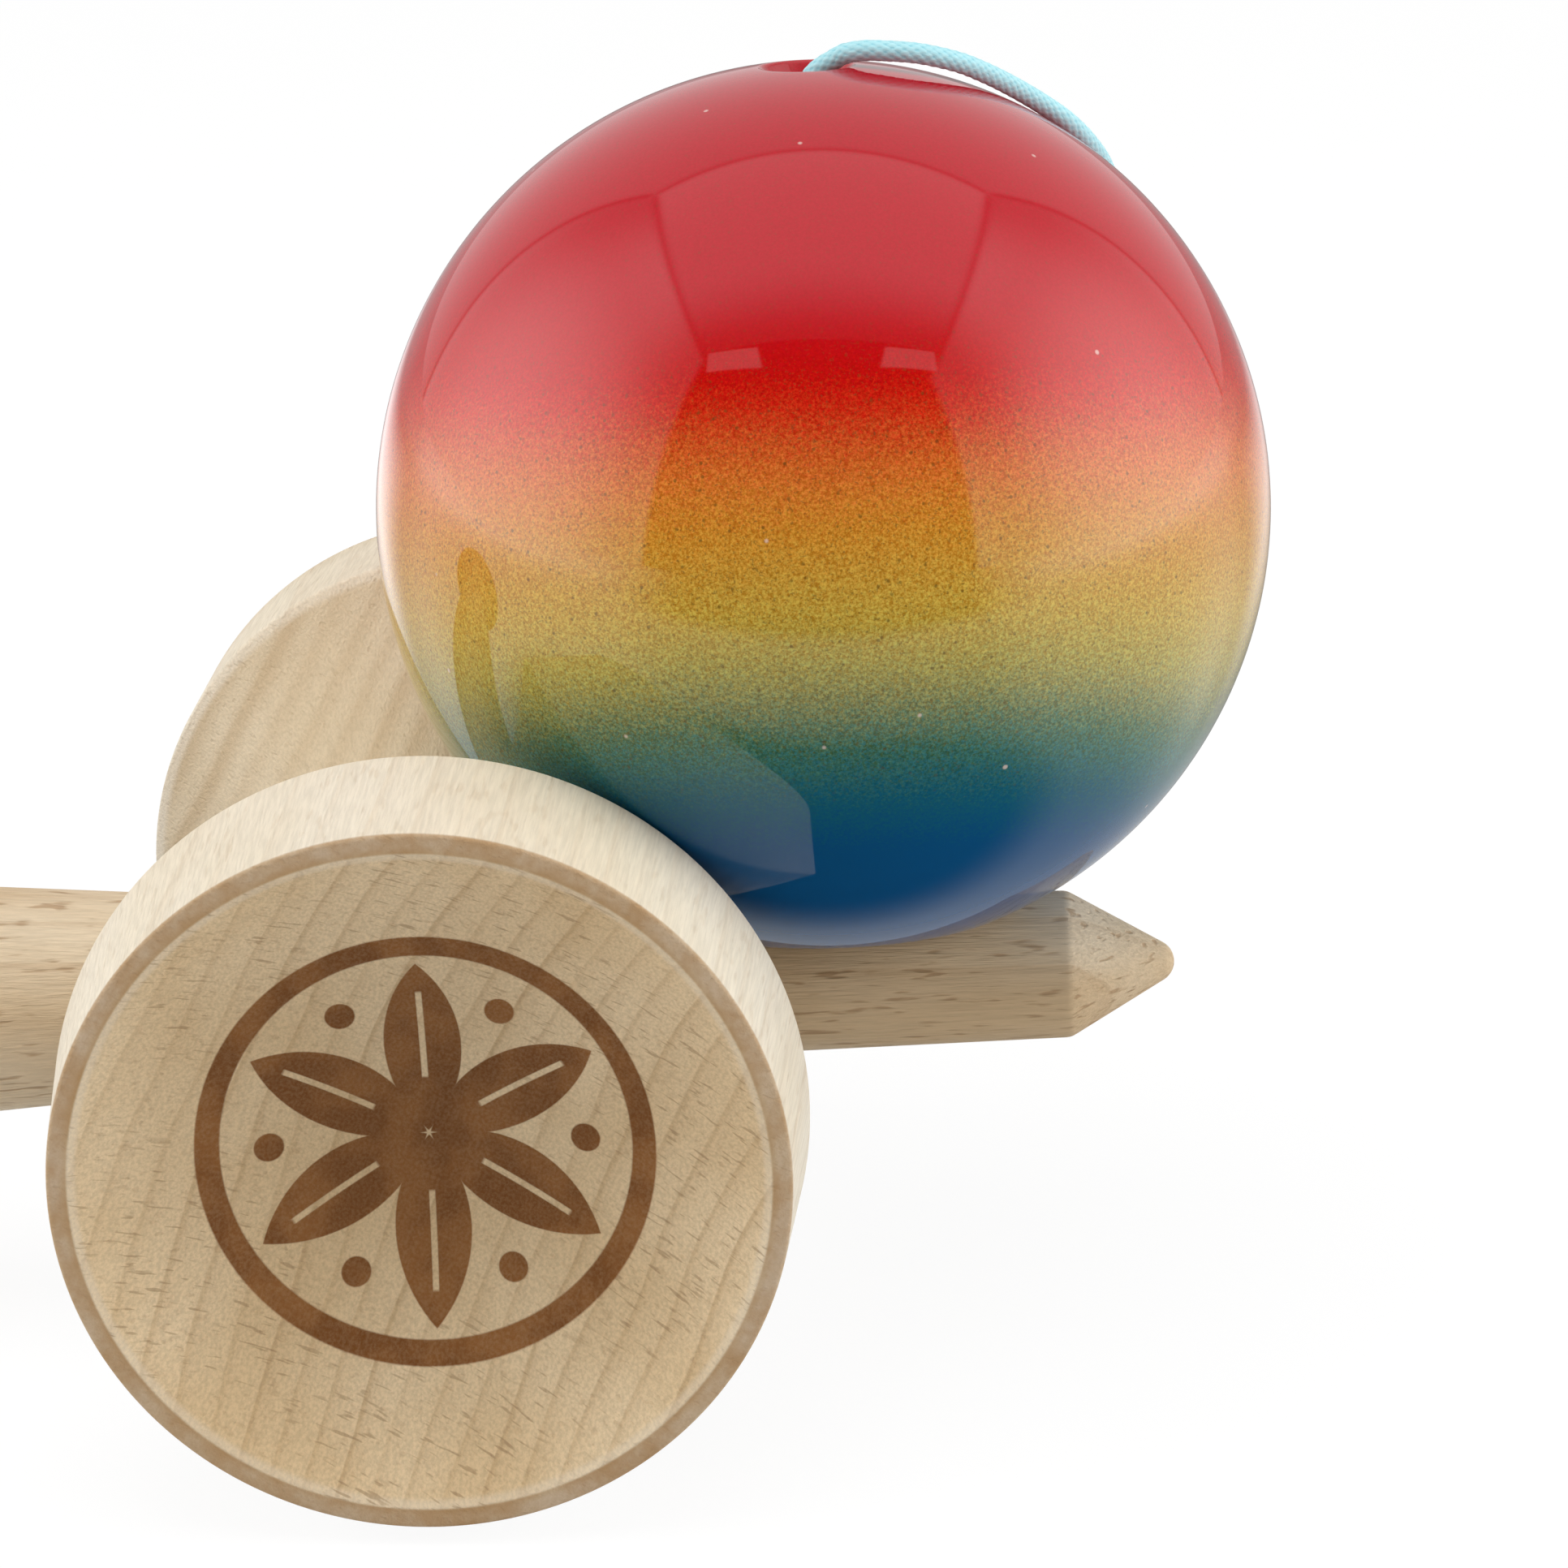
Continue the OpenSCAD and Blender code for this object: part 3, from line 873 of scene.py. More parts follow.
@dataclass
class Stick:
    """The stick: spike, seat, handle and base cup in one turned piece."""

    shop: Workshop
    steps: int = 160
    grip_at: float = 0.6
    neck_at: float = 0.82
    swell: float = 0.068
    shoulder_soft: float = 1.3
    longest: float = 2.5
    ring_gap: float = 0.0034
    ring_bend: float = 9.0
    grain_turn: float = math.radians(14)
    grain_from: Triple = (6.0, 31.0, -7.0)

    def outline(self) -> list[Point]:
        """Gives the stick's outline from the spike's tip to the middle of the base cup.

        Returns:
            Places along the stick and radii, in millimetres.
        """
        s = self.shop.sizes
        lean = math.radians(s.tip_angle)
        tip = Outline.arc((s.spike_len - s.tip_r, 0.0), s.tip_r, 0.0, math.pi / 2 - lean, 10)
        shoulder_x = tip[-1][0] - (s.shoulder_d / 2 - tip[-1][1]) / math.tan(lean)
        root, seat = (s.seat_half, s.spike_root_d / 2), (-s.seat_half, s.seat_d / 2)
        grip = (-self.grip_at * s.tail_len, s.grip_d / 2)
        neck = (-self.neck_at * s.tail_len, s.neck_d / 2)
        ridge, rim = (s.base_wall - s.tail_len, s.base_d / 2), (-s.tail_len, s.base_rim_d / 2)
        lip = (-s.tail_len, s.base_rim_d / 2 - s.base_lip)
        slope = self.swell * (seat[0] - grip[0]) / (grip[1] - seat[1])
        points = [*tip, (shoulder_x, s.shoulder_d / 2), root, seat]
        points += Outline.eased(seat, grip, 32, lambda t: slope * t * (1 - t) ** 2 + t * t * (3 - 2 * t))
        points += Outline.eased(grip, neck, 16, lambda t: (1 - math.cos(math.pi * t)) / 2)
        points += Outline.eased(neck, ridge, 20, lambda t: 1 - math.cos(math.pi / 2 * t))
        at = len(points) - 1
        points += [rim, lip, *Outline.dish(lip, s.base_dish_r, 1, 24)]
        soft = {len(tip): self.shoulder_soft, at: 0.5, at + 1: 0.3, at + 2: 0.18}
        return Outline.divided(Outline.softened(points, soft), self.longest)

    def build(self) -> None:
        """Turns, bores and dresses the stick."""
        s = self.shop.sizes
        line = [Vector((x, 0.0, r)) for x, r in self.outline()]
        piece = Bench.turned("stick_turned", line, Axis.ALONG_STICK, self.steps)
        pocket_r = (s.knot_d + s.pocket_play) / 2
        Bench.bored(piece, Vector((0, 0, s.pocket_z)), Vector((0, 0, s.seat_d)), pocket_r, pocket_r)
        Bench.bored(piece, Vector((0, 0, -s.seat_d)), Vector((0, 0, s.pocket_z + 0.4)), s.thread_r, s.thread_r)
        Bench.settled(piece, self.shop.pose.matrix())
        self.dress(piece)
        self.shop.adopt(piece, Body.STICK, Slot.BEECH, "ken")

    def dress(self, piece: bpy.types.Object) -> None:
        """Gives the stick its long-grained beech.

        Args:
            piece: The turned stick.
        """
        g = material(piece, "beech_long_grain")
        pose = self.shop.pose
        grain = Matrix.Rotation(self.grain_turn, 3, "X")
        place = g.own_frame(pose.place(Vector(self.grain_from)), pose.turn @ grain)
        wood = self.shop.wood(g, place, self.ring_gap, self.ring_bend)
        colour = self.shop.beech.figure(g, wood, 0.34, 0.62)
        rough = wood["Fibres"].band(0.3, 0.7, 0.68, 0.5)
        g.surface(colour, rough, wood["Height"], 0.00016, Specular_IOR_Level=0.3)


@dataclass
class CrossCups:
    """The cross piece with the big cup in front and the small cup behind."""

    shop: Workshop
    steps: int = 192
    dish_steps: int = 40
    ring_gap: float = 0.0024
    ring_bend: float = 2.5
    grain_slant: float = math.radians(65)
    grain_from: Triple = (0.7, 0.0, 0.9)
    fibre: Triple = (0.05, 1.0, 0.03)
    rosette_reach: float = 0.0128
    front_y: float = -0.018
    wall_wood: BeechFinish = BeechFinish(
        pale=(0.79, 0.72, 0.60), warm=(0.74, 0.65, 0.505), ring=(0.60, 0.48, 0.345),
        ray=(0.5, 0.36, 0.22), streak=0.09,
    )
    # Darker wood for the groove between the ridges: painted shade for the recess between the cups and under the
    # ball.
    groove_shade_wood: BeechFinish = BeechFinish(
        pale=(0.72, 0.615, 0.455), warm=(0.65, 0.535, 0.37), ring=(0.50, 0.365, 0.215),
        ray=(0.42, 0.28, 0.15), streak=0.08,
    )
    dish_wood: BeechFinish = BeechFinish(
        pale=(0.735, 0.58, 0.375), warm=(0.65, 0.485, 0.285), ring=(0.45, 0.295, 0.15),
        ray=(0.44, 0.28, 0.15), streak=0.13,
    )
    rim_colour: Colour = (0.41, 0.235, 0.095)
    torn_colour: Colour = (0.28, 0.17, 0.085)
    scorch_deep: Colour = (0.18, 0.066, 0.015)
    scorch_pale: Colour = (0.26, 0.108, 0.031)

    def outline(self) -> list[Point]:
        """Gives the outline from the middle of the big dish to the middle of the small one.

        Returns:
            Places along the cups' axis and radii, in millimetres.
        """
        s = self.shop.sizes
        half = s.cups_len / 2
        big_lip, small_lip = (-half, s.big_rim_d / 2 - s.rim_w), (half, s.small_rim_d / 2 - s.rim_w)
        points = [*reversed(Outline.dish(big_lip, s.dish_r, 1, self.dish_steps)), big_lip]
        big = len(points) - 1
        points += [(-half, s.big_rim_d / 2), (-s.big_ridge_y, s.big_ridge_d / 2)]
        mid, at, r = s.groove
        first = math.atan2(s.big_ridge_d / 2 - mid, -s.big_ridge_y - at)
        last = math.atan2(s.small_ridge_d / 2 - mid, s.small_ridge_y - at)
        points += Outline.arc((at, mid), r, first, last, 60)[1:]
        small = len(points) - 1
        points += [(half, s.small_rim_d / 2), small_lip]
        points += Outline.dish(small_lip, s.dish_r, -1, self.dish_steps)
        soft = {big: 0.22, big + 1: 0.3, big + 2: 0.45, small: 0.45, small + 1: 0.3, small + 2: 0.22}
        return Outline.softened(points, soft)

    def build(self) -> None:
        """Turns, bores and dresses the cross piece."""
        s = self.shop.sizes
        line = [Vector((0.0, y, r)) for y, r in self.outline()]
        piece = Bench.turned("cross_cups_turned", line, Axis.ALONG_CUPS, self.steps)
        seat = Vector((s.seat_half, 0.0, 0.0))
        Bench.bored(piece, -seat, seat, s.seat_d / 2 + s.seat_gap, s.spike_root_d / 2 + s.seat_gap)
        Bench.bored(piece, Vector((0, 0, -s.waist_d)), ORIGIN, s.thread_r, s.thread_r)
        Bench.settled(piece, self.shop.pose.matrix())
        self.dress(piece)
        self.shop.adopt(piece, Body.CUPS, Slot.BEECH, "cross_cups")

    def zones(self, g: Graph, r: Value, y: Value) -> tuple[Value, Value, Value, Value]:
        """Marks the places of the cups that get their own colour: turned or worn in their own way, or with a
        painted highlight.

        Args:
            g: Graph of the material.
            r: Distance from the cups' axis, in metres.
            y: Place along the axis, in metres.

        Returns:
            Masks of the outer walls, the dishes, the dishes' lips (for a painted highlight) and the rims.
        """
        s = self.shop.sizes
        edge = s.big_rim_d / 2 - s.rim_w
        dish_mid = s.cups_len / 2 + math.sqrt(s.dish_r**2 - edge**2)
        deep = s.cups_len / 2 * MM - abs(y)
        reach = g.hypot(r, dish_mid * MM - abs(y))
        dish = reach.fall((s.dish_r + 0.5) * MM, (s.dish_r + 0.8) * MM) * r.fall(edge * MM, (edge + 0.2) * MM)
        wall = r.band(0.0224, 0.0230) * deep.fall(s.big_wall * MM, (s.big_wall + 0.6) * MM)
        return wall, dish, dish * deep.fall(0.0002, 0.0006), deep.fall(0.00008, 0.0003) * (1.0 - dish)

    def dress(self, piece: bpy.types.Object) -> None:
        """Gives the cups end-grained beech, burnished rims and the burnt rosette, with painted shade in the
        groove and a painted highlight on the dishes' lips.

        Args:
            piece: The turned cups.
        """
        pose = self.shop.pose
        g = material(piece, "beech_end_grain")
        own = g.own_frame(pose.place(ORIGIN), pose.turn)
        fibre = Vector(self.fibre).normalized()
        out = Vector((-math.sin(self.grain_slant), 0.0, math.cos(self.grain_slant)))
        out = (out - fibre * out.dot(fibre)).normalized()
        grain = Matrix((fibre, out, fibre.cross(out))).transposed()
        place = g.own_frame(pose.place(Vector(self.grain_from)), pose.turn @ grain)
        wood = self.shop.wood(g, place, self.ring_gap, self.ring_bend)
        x, y, z = g.parts(own)
        r = g.hypot(x, z)
        wall, dish, lip, rim = self.zones(g, r, y)
        # Painted shade: the groove between the ridges takes the darker wood, and the outer walls take the pale
        # one.
        back = self.groove_shade_wood.figure(g, wood, 0.62, 0.1, "Bands")
        colour = g.mix(wall, back, self.wall_wood.figure(g, wood, 0.34, 0.2))
        colour = g.mix(dish, colour, self.dish_wood.figure(g, wood, 0.56, 0.25))
        # Painted highlight: a pale line along the inner edge of each dish.
        colour = g.mix(lip * 0.3, colour, self.wall_wood.pale)
        worn = g.noise(own, 190.0, 4.0, 0.7).band(0.3, 0.68, 0.55, 0.88)
        colour = g.mix(rim * worn, colour, self.rim_colour)
        torn = g.noise(place, (520, 560, 4300), 1.0).band(0.61, 0.71) * dish * r.band(0.002, 0.016, 0.3, 1.0)
        patchy = g.noise(own, 75.0).band(0.4, 0.56)
        colour = g.mix(torn * patchy * 0.5, colour, self.torn_colour)
        burn = g.group(self.shop.rosette, {"Across": x, "Up": z, "Reach": self.rosette_reach})
        scorch = burn["Mask"] * (y < self.front_y)
        tone = g.mix(g.noise(own, 260.0, 3.0).band(0.35, 0.65), self.scorch_deep, self.scorch_pale)
        colour = g.mix(scorch * wood["Fibres"].band(0.3, 0.7, 1.0, 0.9), colour, tone)
        rough = wood["Fibres"].band(0.3, 0.7, 0.74, 0.58)
        g.surface(colour, rough, wood["Height"] - scorch * 0.35, 0.00012, Specular_IOR_Level=0.2)


@dataclass(frozen=True)
class LacquerFinish:
    """Sprayed fade of the ball, by height along the fade's axis as a share of the ball's radius."""

    fade: tuple[tuple[float, Colour], ...] = (
        (-0.95, (0.003, 0.067, 0.205)),
        (-0.70, (0.003, 0.070, 0.190)),
        (-0.60, (0.007, 0.100, 0.155)),
        (-0.50, (0.042, 0.150, 0.115)),
        (-0.45, (0.080, 0.160, 0.078)),
        (-0.31, (0.390, 0.315, 0.056)),
        (-0.20, (0.520, 0.330, 0.044)),
        (-0.03, (0.575, 0.235, 0.022)),
        (0.08, (0.605, 0.150, 0.020)),
        (0.18, (0.560, 0.055, 0.010)),
        (0.23, (0.555, 0.020, 0.004)),
        (0.29, (0.510, 0.003, 0.0015)),
        (0.46, (0.470, 0.0013, 0.009)),
        (0.95, (0.440, 0.0013, 0.011)),
    )
    slant: float = math.radians(14.8)
    bow: float = 0.16
    spread: float = 0.24
    sway: float = 0.04
    swings: Triple = (0.26, 0.44, 0.75)
    dot: Colour = (0.10, 0.07, 0.02)
    drop: Colour = (0.09, 0.05, 0.008)
    speck: Colour = (0.8, 0.62, 0.55)
    rough: float = 0.035
    bare_rough: float = 0.55

    def paint(self, g: Graph, own: bpy.types.NodeSocket, r: float) -> tuple[bpy.types.NodeSocket, Value]:
        """Sprays the fade with its mist, grain, drops and specks of dust.

        Args:
            g: Graph of the material.
            own: Coordinates in the fade's frame, in metres.
            r: Radius of the ball, in metres.

        Returns:
            The colour's socket and the mask of the specks.
        """
        across, _, up = g.parts(own)
        height = up / r * (across * across).band(0.0, r**2, 1.0, 1.0 - self.bow)
        mist = (g.noise(own, 4300.0, 2.0, 0.75) - 0.5) * self.spread
        drift = (g.noise(own, 55.0) - 0.5) * self.sway
        level = (height + mist + drift) * 0.5 + 0.5
        paint = g.ramp(level, [((at + 1) / 2, colour) for at, colour in self.fade])
        zone = height.band(-0.66, -0.45) * height.band(0.16, 0.42, 1.0, 0.3)
        grain = g.noise(own, 5200.0, 2.0, 0.8)
        swings = [grain.band(0.28, 0.72, 1.0 - swing, 1.0 + swing) for swing in self.swings]
        paint = g.mix(zone, paint, g.shaded(paint, *swings))
        dots = g.noise(own, 6200.0, 1.0).band(0.60, 0.70)
        paint = g.mix(dots * zone * 0.5, paint, self.dot)
        paint = g.mix(g.spots(own, 1300.0, (0.09, 0.2), 0.48) * zone * 0.6, paint, self.drop)
        speck = g.spots(own, 330.0, (0.035, 0.075), 0.72)
        return g.mix(speck * 0.6, paint, self.speck), speck


@dataclass
class PaintedBall:
    """The ball with the spike's hole below and the string's hole above."""

    shop: Workshop
    finish: LacquerFinish = LacquerFinish()
    steps: int = 192
    longest: float = 3.0
    sharp: float = 24.0
    ring_gap: float = 0.0028
    ring_bend: float = 4.0

    def outline(self) -> list[Point]:
        """Gives the outline from the string's hole over the skin and back up the big hole.

        Returns:
            Radii and heights, in millimetres.
        """
        s = self.shop.sizes
        sink_r, thread_r = s.sink_d / 2, s.string_hole_d / 2
        sink_z = math.sqrt(s.ball_r**2 - sink_r**2)
        mouth_z = -math.sqrt(s.ball_r**2 - s.mouth_r**2)
        top, low = math.atan2(sink_z, sink_r), math.atan2(mouth_z, s.mouth_r)
        points = [(thread_r, s.point_top), (thread_r, sink_z - (sink_r - thread_r) * s.sink_steep)]
        points += Outline.arc((0.0, 0.0), s.ball_r, top, low, 110)
        points += [(s.hole_d / 2, mouth_z + s.hole_bevel), (s.hole_top_r, s.hole_top), (thread_r, s.point_top)]
        last = len(points) - 1
        soft = {1: 0.3, 2: 0.4, last - 3: 0.25, last - 2: 0.3, last - 1: 0.5}
        return Outline.divided(Outline.softened(points, soft), self.longest)

    def build(self) -> None:
        """Turns and dresses the ball."""
        line = [Vector((r, 0.0, z)) for r, z in self.outline()]
        piece = Bench.turned("ball_lacquered", line, Axis.UP, self.steps)
        Bench.settled(piece, self.shop.pose.ball_matrix(), self.sharp)
        self.dress(piece)
        self.shop.adopt(piece, Body.BALL, Slot.LACQUER, "ball")

    def dress(self, piece: bpy.types.Object) -> None:
        """Sprays the ball and leaves bare wood in its holes.

        Args:
            piece: The turned ball.
        """
        s, pose = self.shop.sizes, self.shop.pose
        g = material(piece, "lacquer_fade")
        own = g.own_frame(pose.in_ball(ORIGIN), pose.turn @ Matrix.Rotation(-self.finish.slant, 3, "X"))
        paint, speck = self.finish.paint(g, own, s.ball_r * MM)
        far = g.read(g.node("ShaderNodeVectorMath", {0: own}, operation="LENGTH"), "Value")
        bare = far.fall((s.ball_r - 2.4) * MM, (s.ball_r - 1.0) * MM)
        wood = self.shop.wood(g, own, self.ring_gap, self.ring_bend)
        colour = g.mix(bare, paint, self.shop.beech.figure(g, wood, 0.3, 0.3))
        rough = bare * self.finish.bare_rough + self.finish.rough
        lump = g.noise(own, 160.0, 1.0) * 0.25 + speck * 0.4
        g.surface(colour, rough, lump, 0.00002, IOR=1.5)


@dataclass(frozen=True)
class Braid:
    """Skin of the string: two sets of strands that pass over and under each other."""

    strands: int = 8
    stitch: float = 0.00078
    depth: float = 0.00008
    level: float = 0.6

    def height(self, around: float, run: float) -> float:
        """Gives the height of the skin.

        Args:
            around: Place around the string, from 0 to 1.
            run: Place along the string, in metres.

        Returns:
            A height from 0 to 1.
        """
        a = self.strands * around + run / self.stitch
        b = self.strands * around - run / self.stitch
        if (math.floor(a) + math.floor(b)) % 2:
            a, b = b, a
        crown = math.sin(math.pi * (a % 1.0))
        return 0.55 * math.sqrt(max(crown, 0.0)) + 0.45 * math.sin(math.pi * (b % 1.0))


@dataclass(frozen=True)
class StringRoute:
    """Route of the string: from the bead over the ball, to its coil and up into the cups.

    The stretch over the ball is given in degrees down from the ball's top and around it, with its gap to the
    skin in millimetres. The others are in millimetres from the ground under the cross, or from the coil's start.
    """

    shop: Workshop
    over_ball: tuple[Triple, ...] = (
        (3.9, -18.7, -0.29), (7, -20.8, 0.37), (10.2, -14.5, 0.57), (13.4, -7.7, 0.68), (16.4, -1.1, 0.64),
        (19.3, 5.1, 0.55), (22.3, 10.7, 0.39), (25.5, 15.4, 0.27), (29, 19.2, 0.21), (33, 21.6, 0.2),
        (37.4, 23, 0.2), (42.4, 26.2, 0.21), (48, 30.5, 0.28), (56, 36, 0.33), (66, 42.5, 0.38), (76, 50, 0.4),
        (86, 58.5, 0.4), (96, 67, 0.4), (106, 76, 0.4), (116, 84, 0.4), (126, 90, 0.4), (134, 95, 0.5),
    )
    beside_cups: tuple[Triple, ...] = (
        (22.5, 16, 29), (21.5, 13.5, 24), (20.5, 11.5, 19), (19.5, 10.5, 14), (18.3, 10, 9),
        (16.2, 9.6, 5), (13, 9.4, 2.2),
    )
    under_cups: tuple[Triple, ...] = (
        (-6.5, 8.9, 2.6), (-10, 6.2, 3.2), (-11.2, 2.2, 4.2), (-9.4, -1.6, 5.6), (-5.6, -3, 7.2), (-2, -2, 8.8),
    )
    landing: tuple[Triple, ...] = ((11, 0, 0.9), (7.5, 0, 0.2), (4, 0, 0))
    coil_x: float = -3.0
    coil_play: float = 0.5
    loops: int = 3
    in_r: float = 3.8
    turn_steps: int = 24
    knot_steps: int = 24

    @property
    def pitch(self) -> float:
        """Distance between two loops of the coil, in millimetres."""
        return self.shop.sizes.string_d + self.coil_play

    def under(self, x: float, y: float, z: float) -> Vector:
        """Gives a point that is measured from the ground under the middle of the cross."""
        return Vector((x + self.shop.pose.shift_x, y, z))

    def coil(self) -> list[Vector]:
        """Winds the spare length into two flat layers.

        Returns:
            The coil's points in order, in millimetres.
        """
        d = self.shop.sizes.string_d
        low, out_r = d / 2 + 0.1, self.in_r + self.loops * self.pitch
        points = [self.under(self.coil_x + d, out_r, low)]
        for i in range(2 * self.loops * self.turn_steps + 1):
            t = i / self.turn_steps
            r = self.in_r + self.pitch * abs(self.loops - t)
            lift = (1 - math.cos(math.pi * min(max(2 * (t - self.loops) + 0.5, 0.0), 1.0))) / 2
            a = math.pi / 2 + math.tau * t
            points.append(self.under(self.coil_x + r * math.cos(a), r * math.sin(a), low + self.pitch * lift))
        return [*points, self.under(self.coil_x - d, out_r, low + self.pitch)]

    def inside_ball(self) -> list[Vector]:
        """Leads the string from the bead to the top of the ball.

        Returns:
            The stretch's points, in millimetres.
        """
        s, pose = self.shop.sizes, self.shop.pose
        bead_top = s.bead_z + s.bead_d / 2
        rise = (s.bead_z - s.bead_flat, s.bead_z, bead_top, s.point_top, s.ball_r - 6, s.ball_r - 1.5)
        return [pose.in_ball(Vector((0, 0, z))) for z in rise]

    def round_ball(self) -> list[Vector]:
        """Leads the string over the ball's top and down its back.

        Returns:
            The stretch's points, in millimetres.
        """
        s, pose = self.shop.sizes, self.shop.pose
        points = []
        for down, round_by, gap in self.over_ball:
            a, b = math.radians(down), math.radians(round_by)
            way = Vector((math.sin(a) * math.cos(b), math.sin(a) * math.sin(b), math.cos(a)))
            points.append(pose.in_ball(way * (s.ball_r + s.string_d / 2 + gap)))
        return points

    def knots(self) -> list[Vector]:
        """Joins all stretches.

        Returns:
            All points that the string passes, in millimetres.
        """
        s, pose = self.shop.sizes, self.shop.pose
        coil = self.coil()
        fall = [self.under(*p) for p in self.beside_cups]
        run = [coil[0] + Vector(p) for p in self.landing]
        lead = [coil[-1] + Vector((-s.string_d, 0, 0))] + [self.under(*p) for p in self.under_cups]
        depths = (s.waist_d / 2 + s.string_d, s.waist_d / 2, s.seat_mid_r + s.seat_gap + s.string_cut)
        hole = [pose.place(Vector((0, 0, -z))) for z in depths]
        return self.inside_ball() + self.round_ball() + fall + run + coil + lead + hole

    def line(self, fine: float, coarse: float, fine_length: float) -> list[Vector]:
        """Draws one smooth line through the points, closer where it is seen.

        Args:
            fine: Step over the first stretch, in millimetres.
            coarse: Step over the rest.
            fine_length: Length of the first stretch.

        Returns:
            The line, in metres.
        """
        p = self.knots()
        dense: list[Vector] = []
        for i in range(len(p) - 1):
            a, b, c, d = p[max(i - 1, 0)], p[i], p[i + 1], p[min(i + 2, len(p) - 1)]
            square, cube = 2 * a - 5 * b + 4 * c - d, 3 * b - a - 3 * c + d
            for k in range(self.knot_steps):
                t = k / self.knot_steps
                dense.append(0.5 * (2 * b + t * (c - a) + t * t * square + t**3 * cube))
        dense.append(p[-1])
        out, gone, due = [dense[0]], 0.0, fine
        for a, b in zip(dense, dense[1:]):
            step = (b - a).length
            while gone + step >= due:
                out.append(a.lerp(b, (due - gone) / step))
                due += fine if due < fine_length else coarse
            gone += step
        if (out[-1] - p[-1]).length > 0.02:
            out.append(p[-1])
        return [q * MM for q in out]


@dataclass
class PlayString:
    """The string with its two end knots and the tie around its spare length."""

    shop: Workshop
    braid: Braid = Braid()
    sides: int = 40
    fine: float = 0.075
    coarse: float = 0.24
    fine_length: float = 66.0
    slack_way: Triple = (0.5, 0.5, 0.7)
    slack_length: float = 0.0285
    knot_turns: float = 2.4
    knot_squeeze: float = 0.47
    knot_steps: int = 96
    tie_turns: int = 2
    tie_r: float = 0.18
    tie_width: float = 0.8
    tie_steps: int = 128
    pale: Colour = (0.42, 0.76, 0.82)
    # deep is painted shade for the braid's crevices, and it is also mixed in at random as fuzz.
    deep: Colour = (0.25, 0.60, 0.69)
    # light is a painted sheen along the twist.
    light: Colour = (0.62, 0.88, 0.9)

    def build(self) -> None:
        """Makes the string, its knots and its tie."""
        s, pose = self.shop.sizes, self.shop.pose
        route = StringRoute(self.shop)
        line = route.line(self.fine, self.coarse, self.fine_length)
        cord = self.dressed("string_braided", line, s.string_d / 2, self.sides)
        start = route.under(*route.beside_cups[5]) * MM
        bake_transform(cord)
        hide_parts("string_over_ball", "string_beside_cups", "string_coil", "string_at_cups")
        bead_foot = Vector((0, 0, s.bead_z - s.bead_flat - s.knot_h))
        bead_knot = self.knot("bead_knot_tied", pose.ball_matrix(bead_foot))
        self.shop.adopt(bead_knot, Body.TETHER, Slot.STRING, "bead_knot")
        end_knot = self.knot("stick_knot_tied", pose.matrix(Vector((0, 0, s.pocket_z))))
        self.shop.adopt(end_knot, Body.STICK, Slot.STRING, "ken_knot")
        self.shop.adopt(self.stub(), Body.STICK, Slot.STRING, "string_in_ken")
        tie = self.tie(route)
        self.shop.adopt(tie, Body.CUPS, Slot.STRING)
        length = sum((b - a).length for a, b in zip(line, line[1:]))
        pose.in_ball(Vector((0, 0, s.ball_r))) * MM
        line[::6] + [line[-1]]
        LOG.info("%s: %.1f mm of string", cord.name, length / MM)

    def knot(self, name: str, foot: Matrix) -> bpy.types.Object:
        """Ties a small stopper knot.

        Args:
            name: Name of the piece.
            foot: Place of the knot's foot, in metres.

        Returns:
            The knot.
        """
        s = self.shop.sizes
        thick = s.string_d * self.knot_squeeze
        wind = s.knot_d / 2 - thick - 0.06
        rise = s.knot_h - 2 * thick - 0.1
        line = []
        for i in range(self.knot_steps + 1):
            t = i / self.knot_steps
            r = wind * min(1.0, 6 * t + 0.15, 6 * (1 - t) + 0.15)
            a = math.tau * self.knot_turns * t
            line.append(foot @ (Vector((r * math.cos(a), r * math.sin(a), thick + 0.05 + rise * t)) * MM))
        return self.dressed(name, line, thick, 20)

    def stub(self) -> bpy.types.Object:
        """Makes the short stretch between the stick's knot and the cups.

        Returns:
            The stretch.
        """
        s, pose = self.shop.sizes, self.shop.pose
        low = s.string_cut - s.seat_mid_r
        rise = [low + (s.pocket_z - low) * i / 60 for i in range(61)]
        line = [pose.place(Vector((0, 0, z))) * MM for z in rise]
        return self.dressed("string_in_stick", line, s.string_d / 2, 32)

    def tie(self, route: StringRoute) -> bpy.types.Object:
        """Ties the coil with two turns of thread.

        Args:
            route: The string's route.

        Returns:
            The tie.
        """
        d = self.shop.sizes.string_d
        snug = d / 2 + 0.25
        near = route.in_r + 0.5 * route.pitch - snug
        far = route.in_r + (route.loops - 0.5) * route.pitch + snug
        low, high = 0.2, 2 * d + 0.85
        line = []
        for i in range(self.tie_steps + 1):
            t = i / self.tie_steps
            a = math.tau * self.tie_turns * t
            squash = (abs(math.cos(a)) ** 8 + abs(math.sin(a)) ** 8) ** -0.125
            y = (near + far) / 2 + (far - near) / 2 * math.cos(a) * squash
            z = (low + high) / 2 + (high - low) / 2 * math.sin(a) * squash
            line.append(route.under(route.coil_x + self.tie_width * (t - 0.5), -y, z) * MM)
        return self.dressed("coil_tie", line, self.tie_r, 12, plain=True)

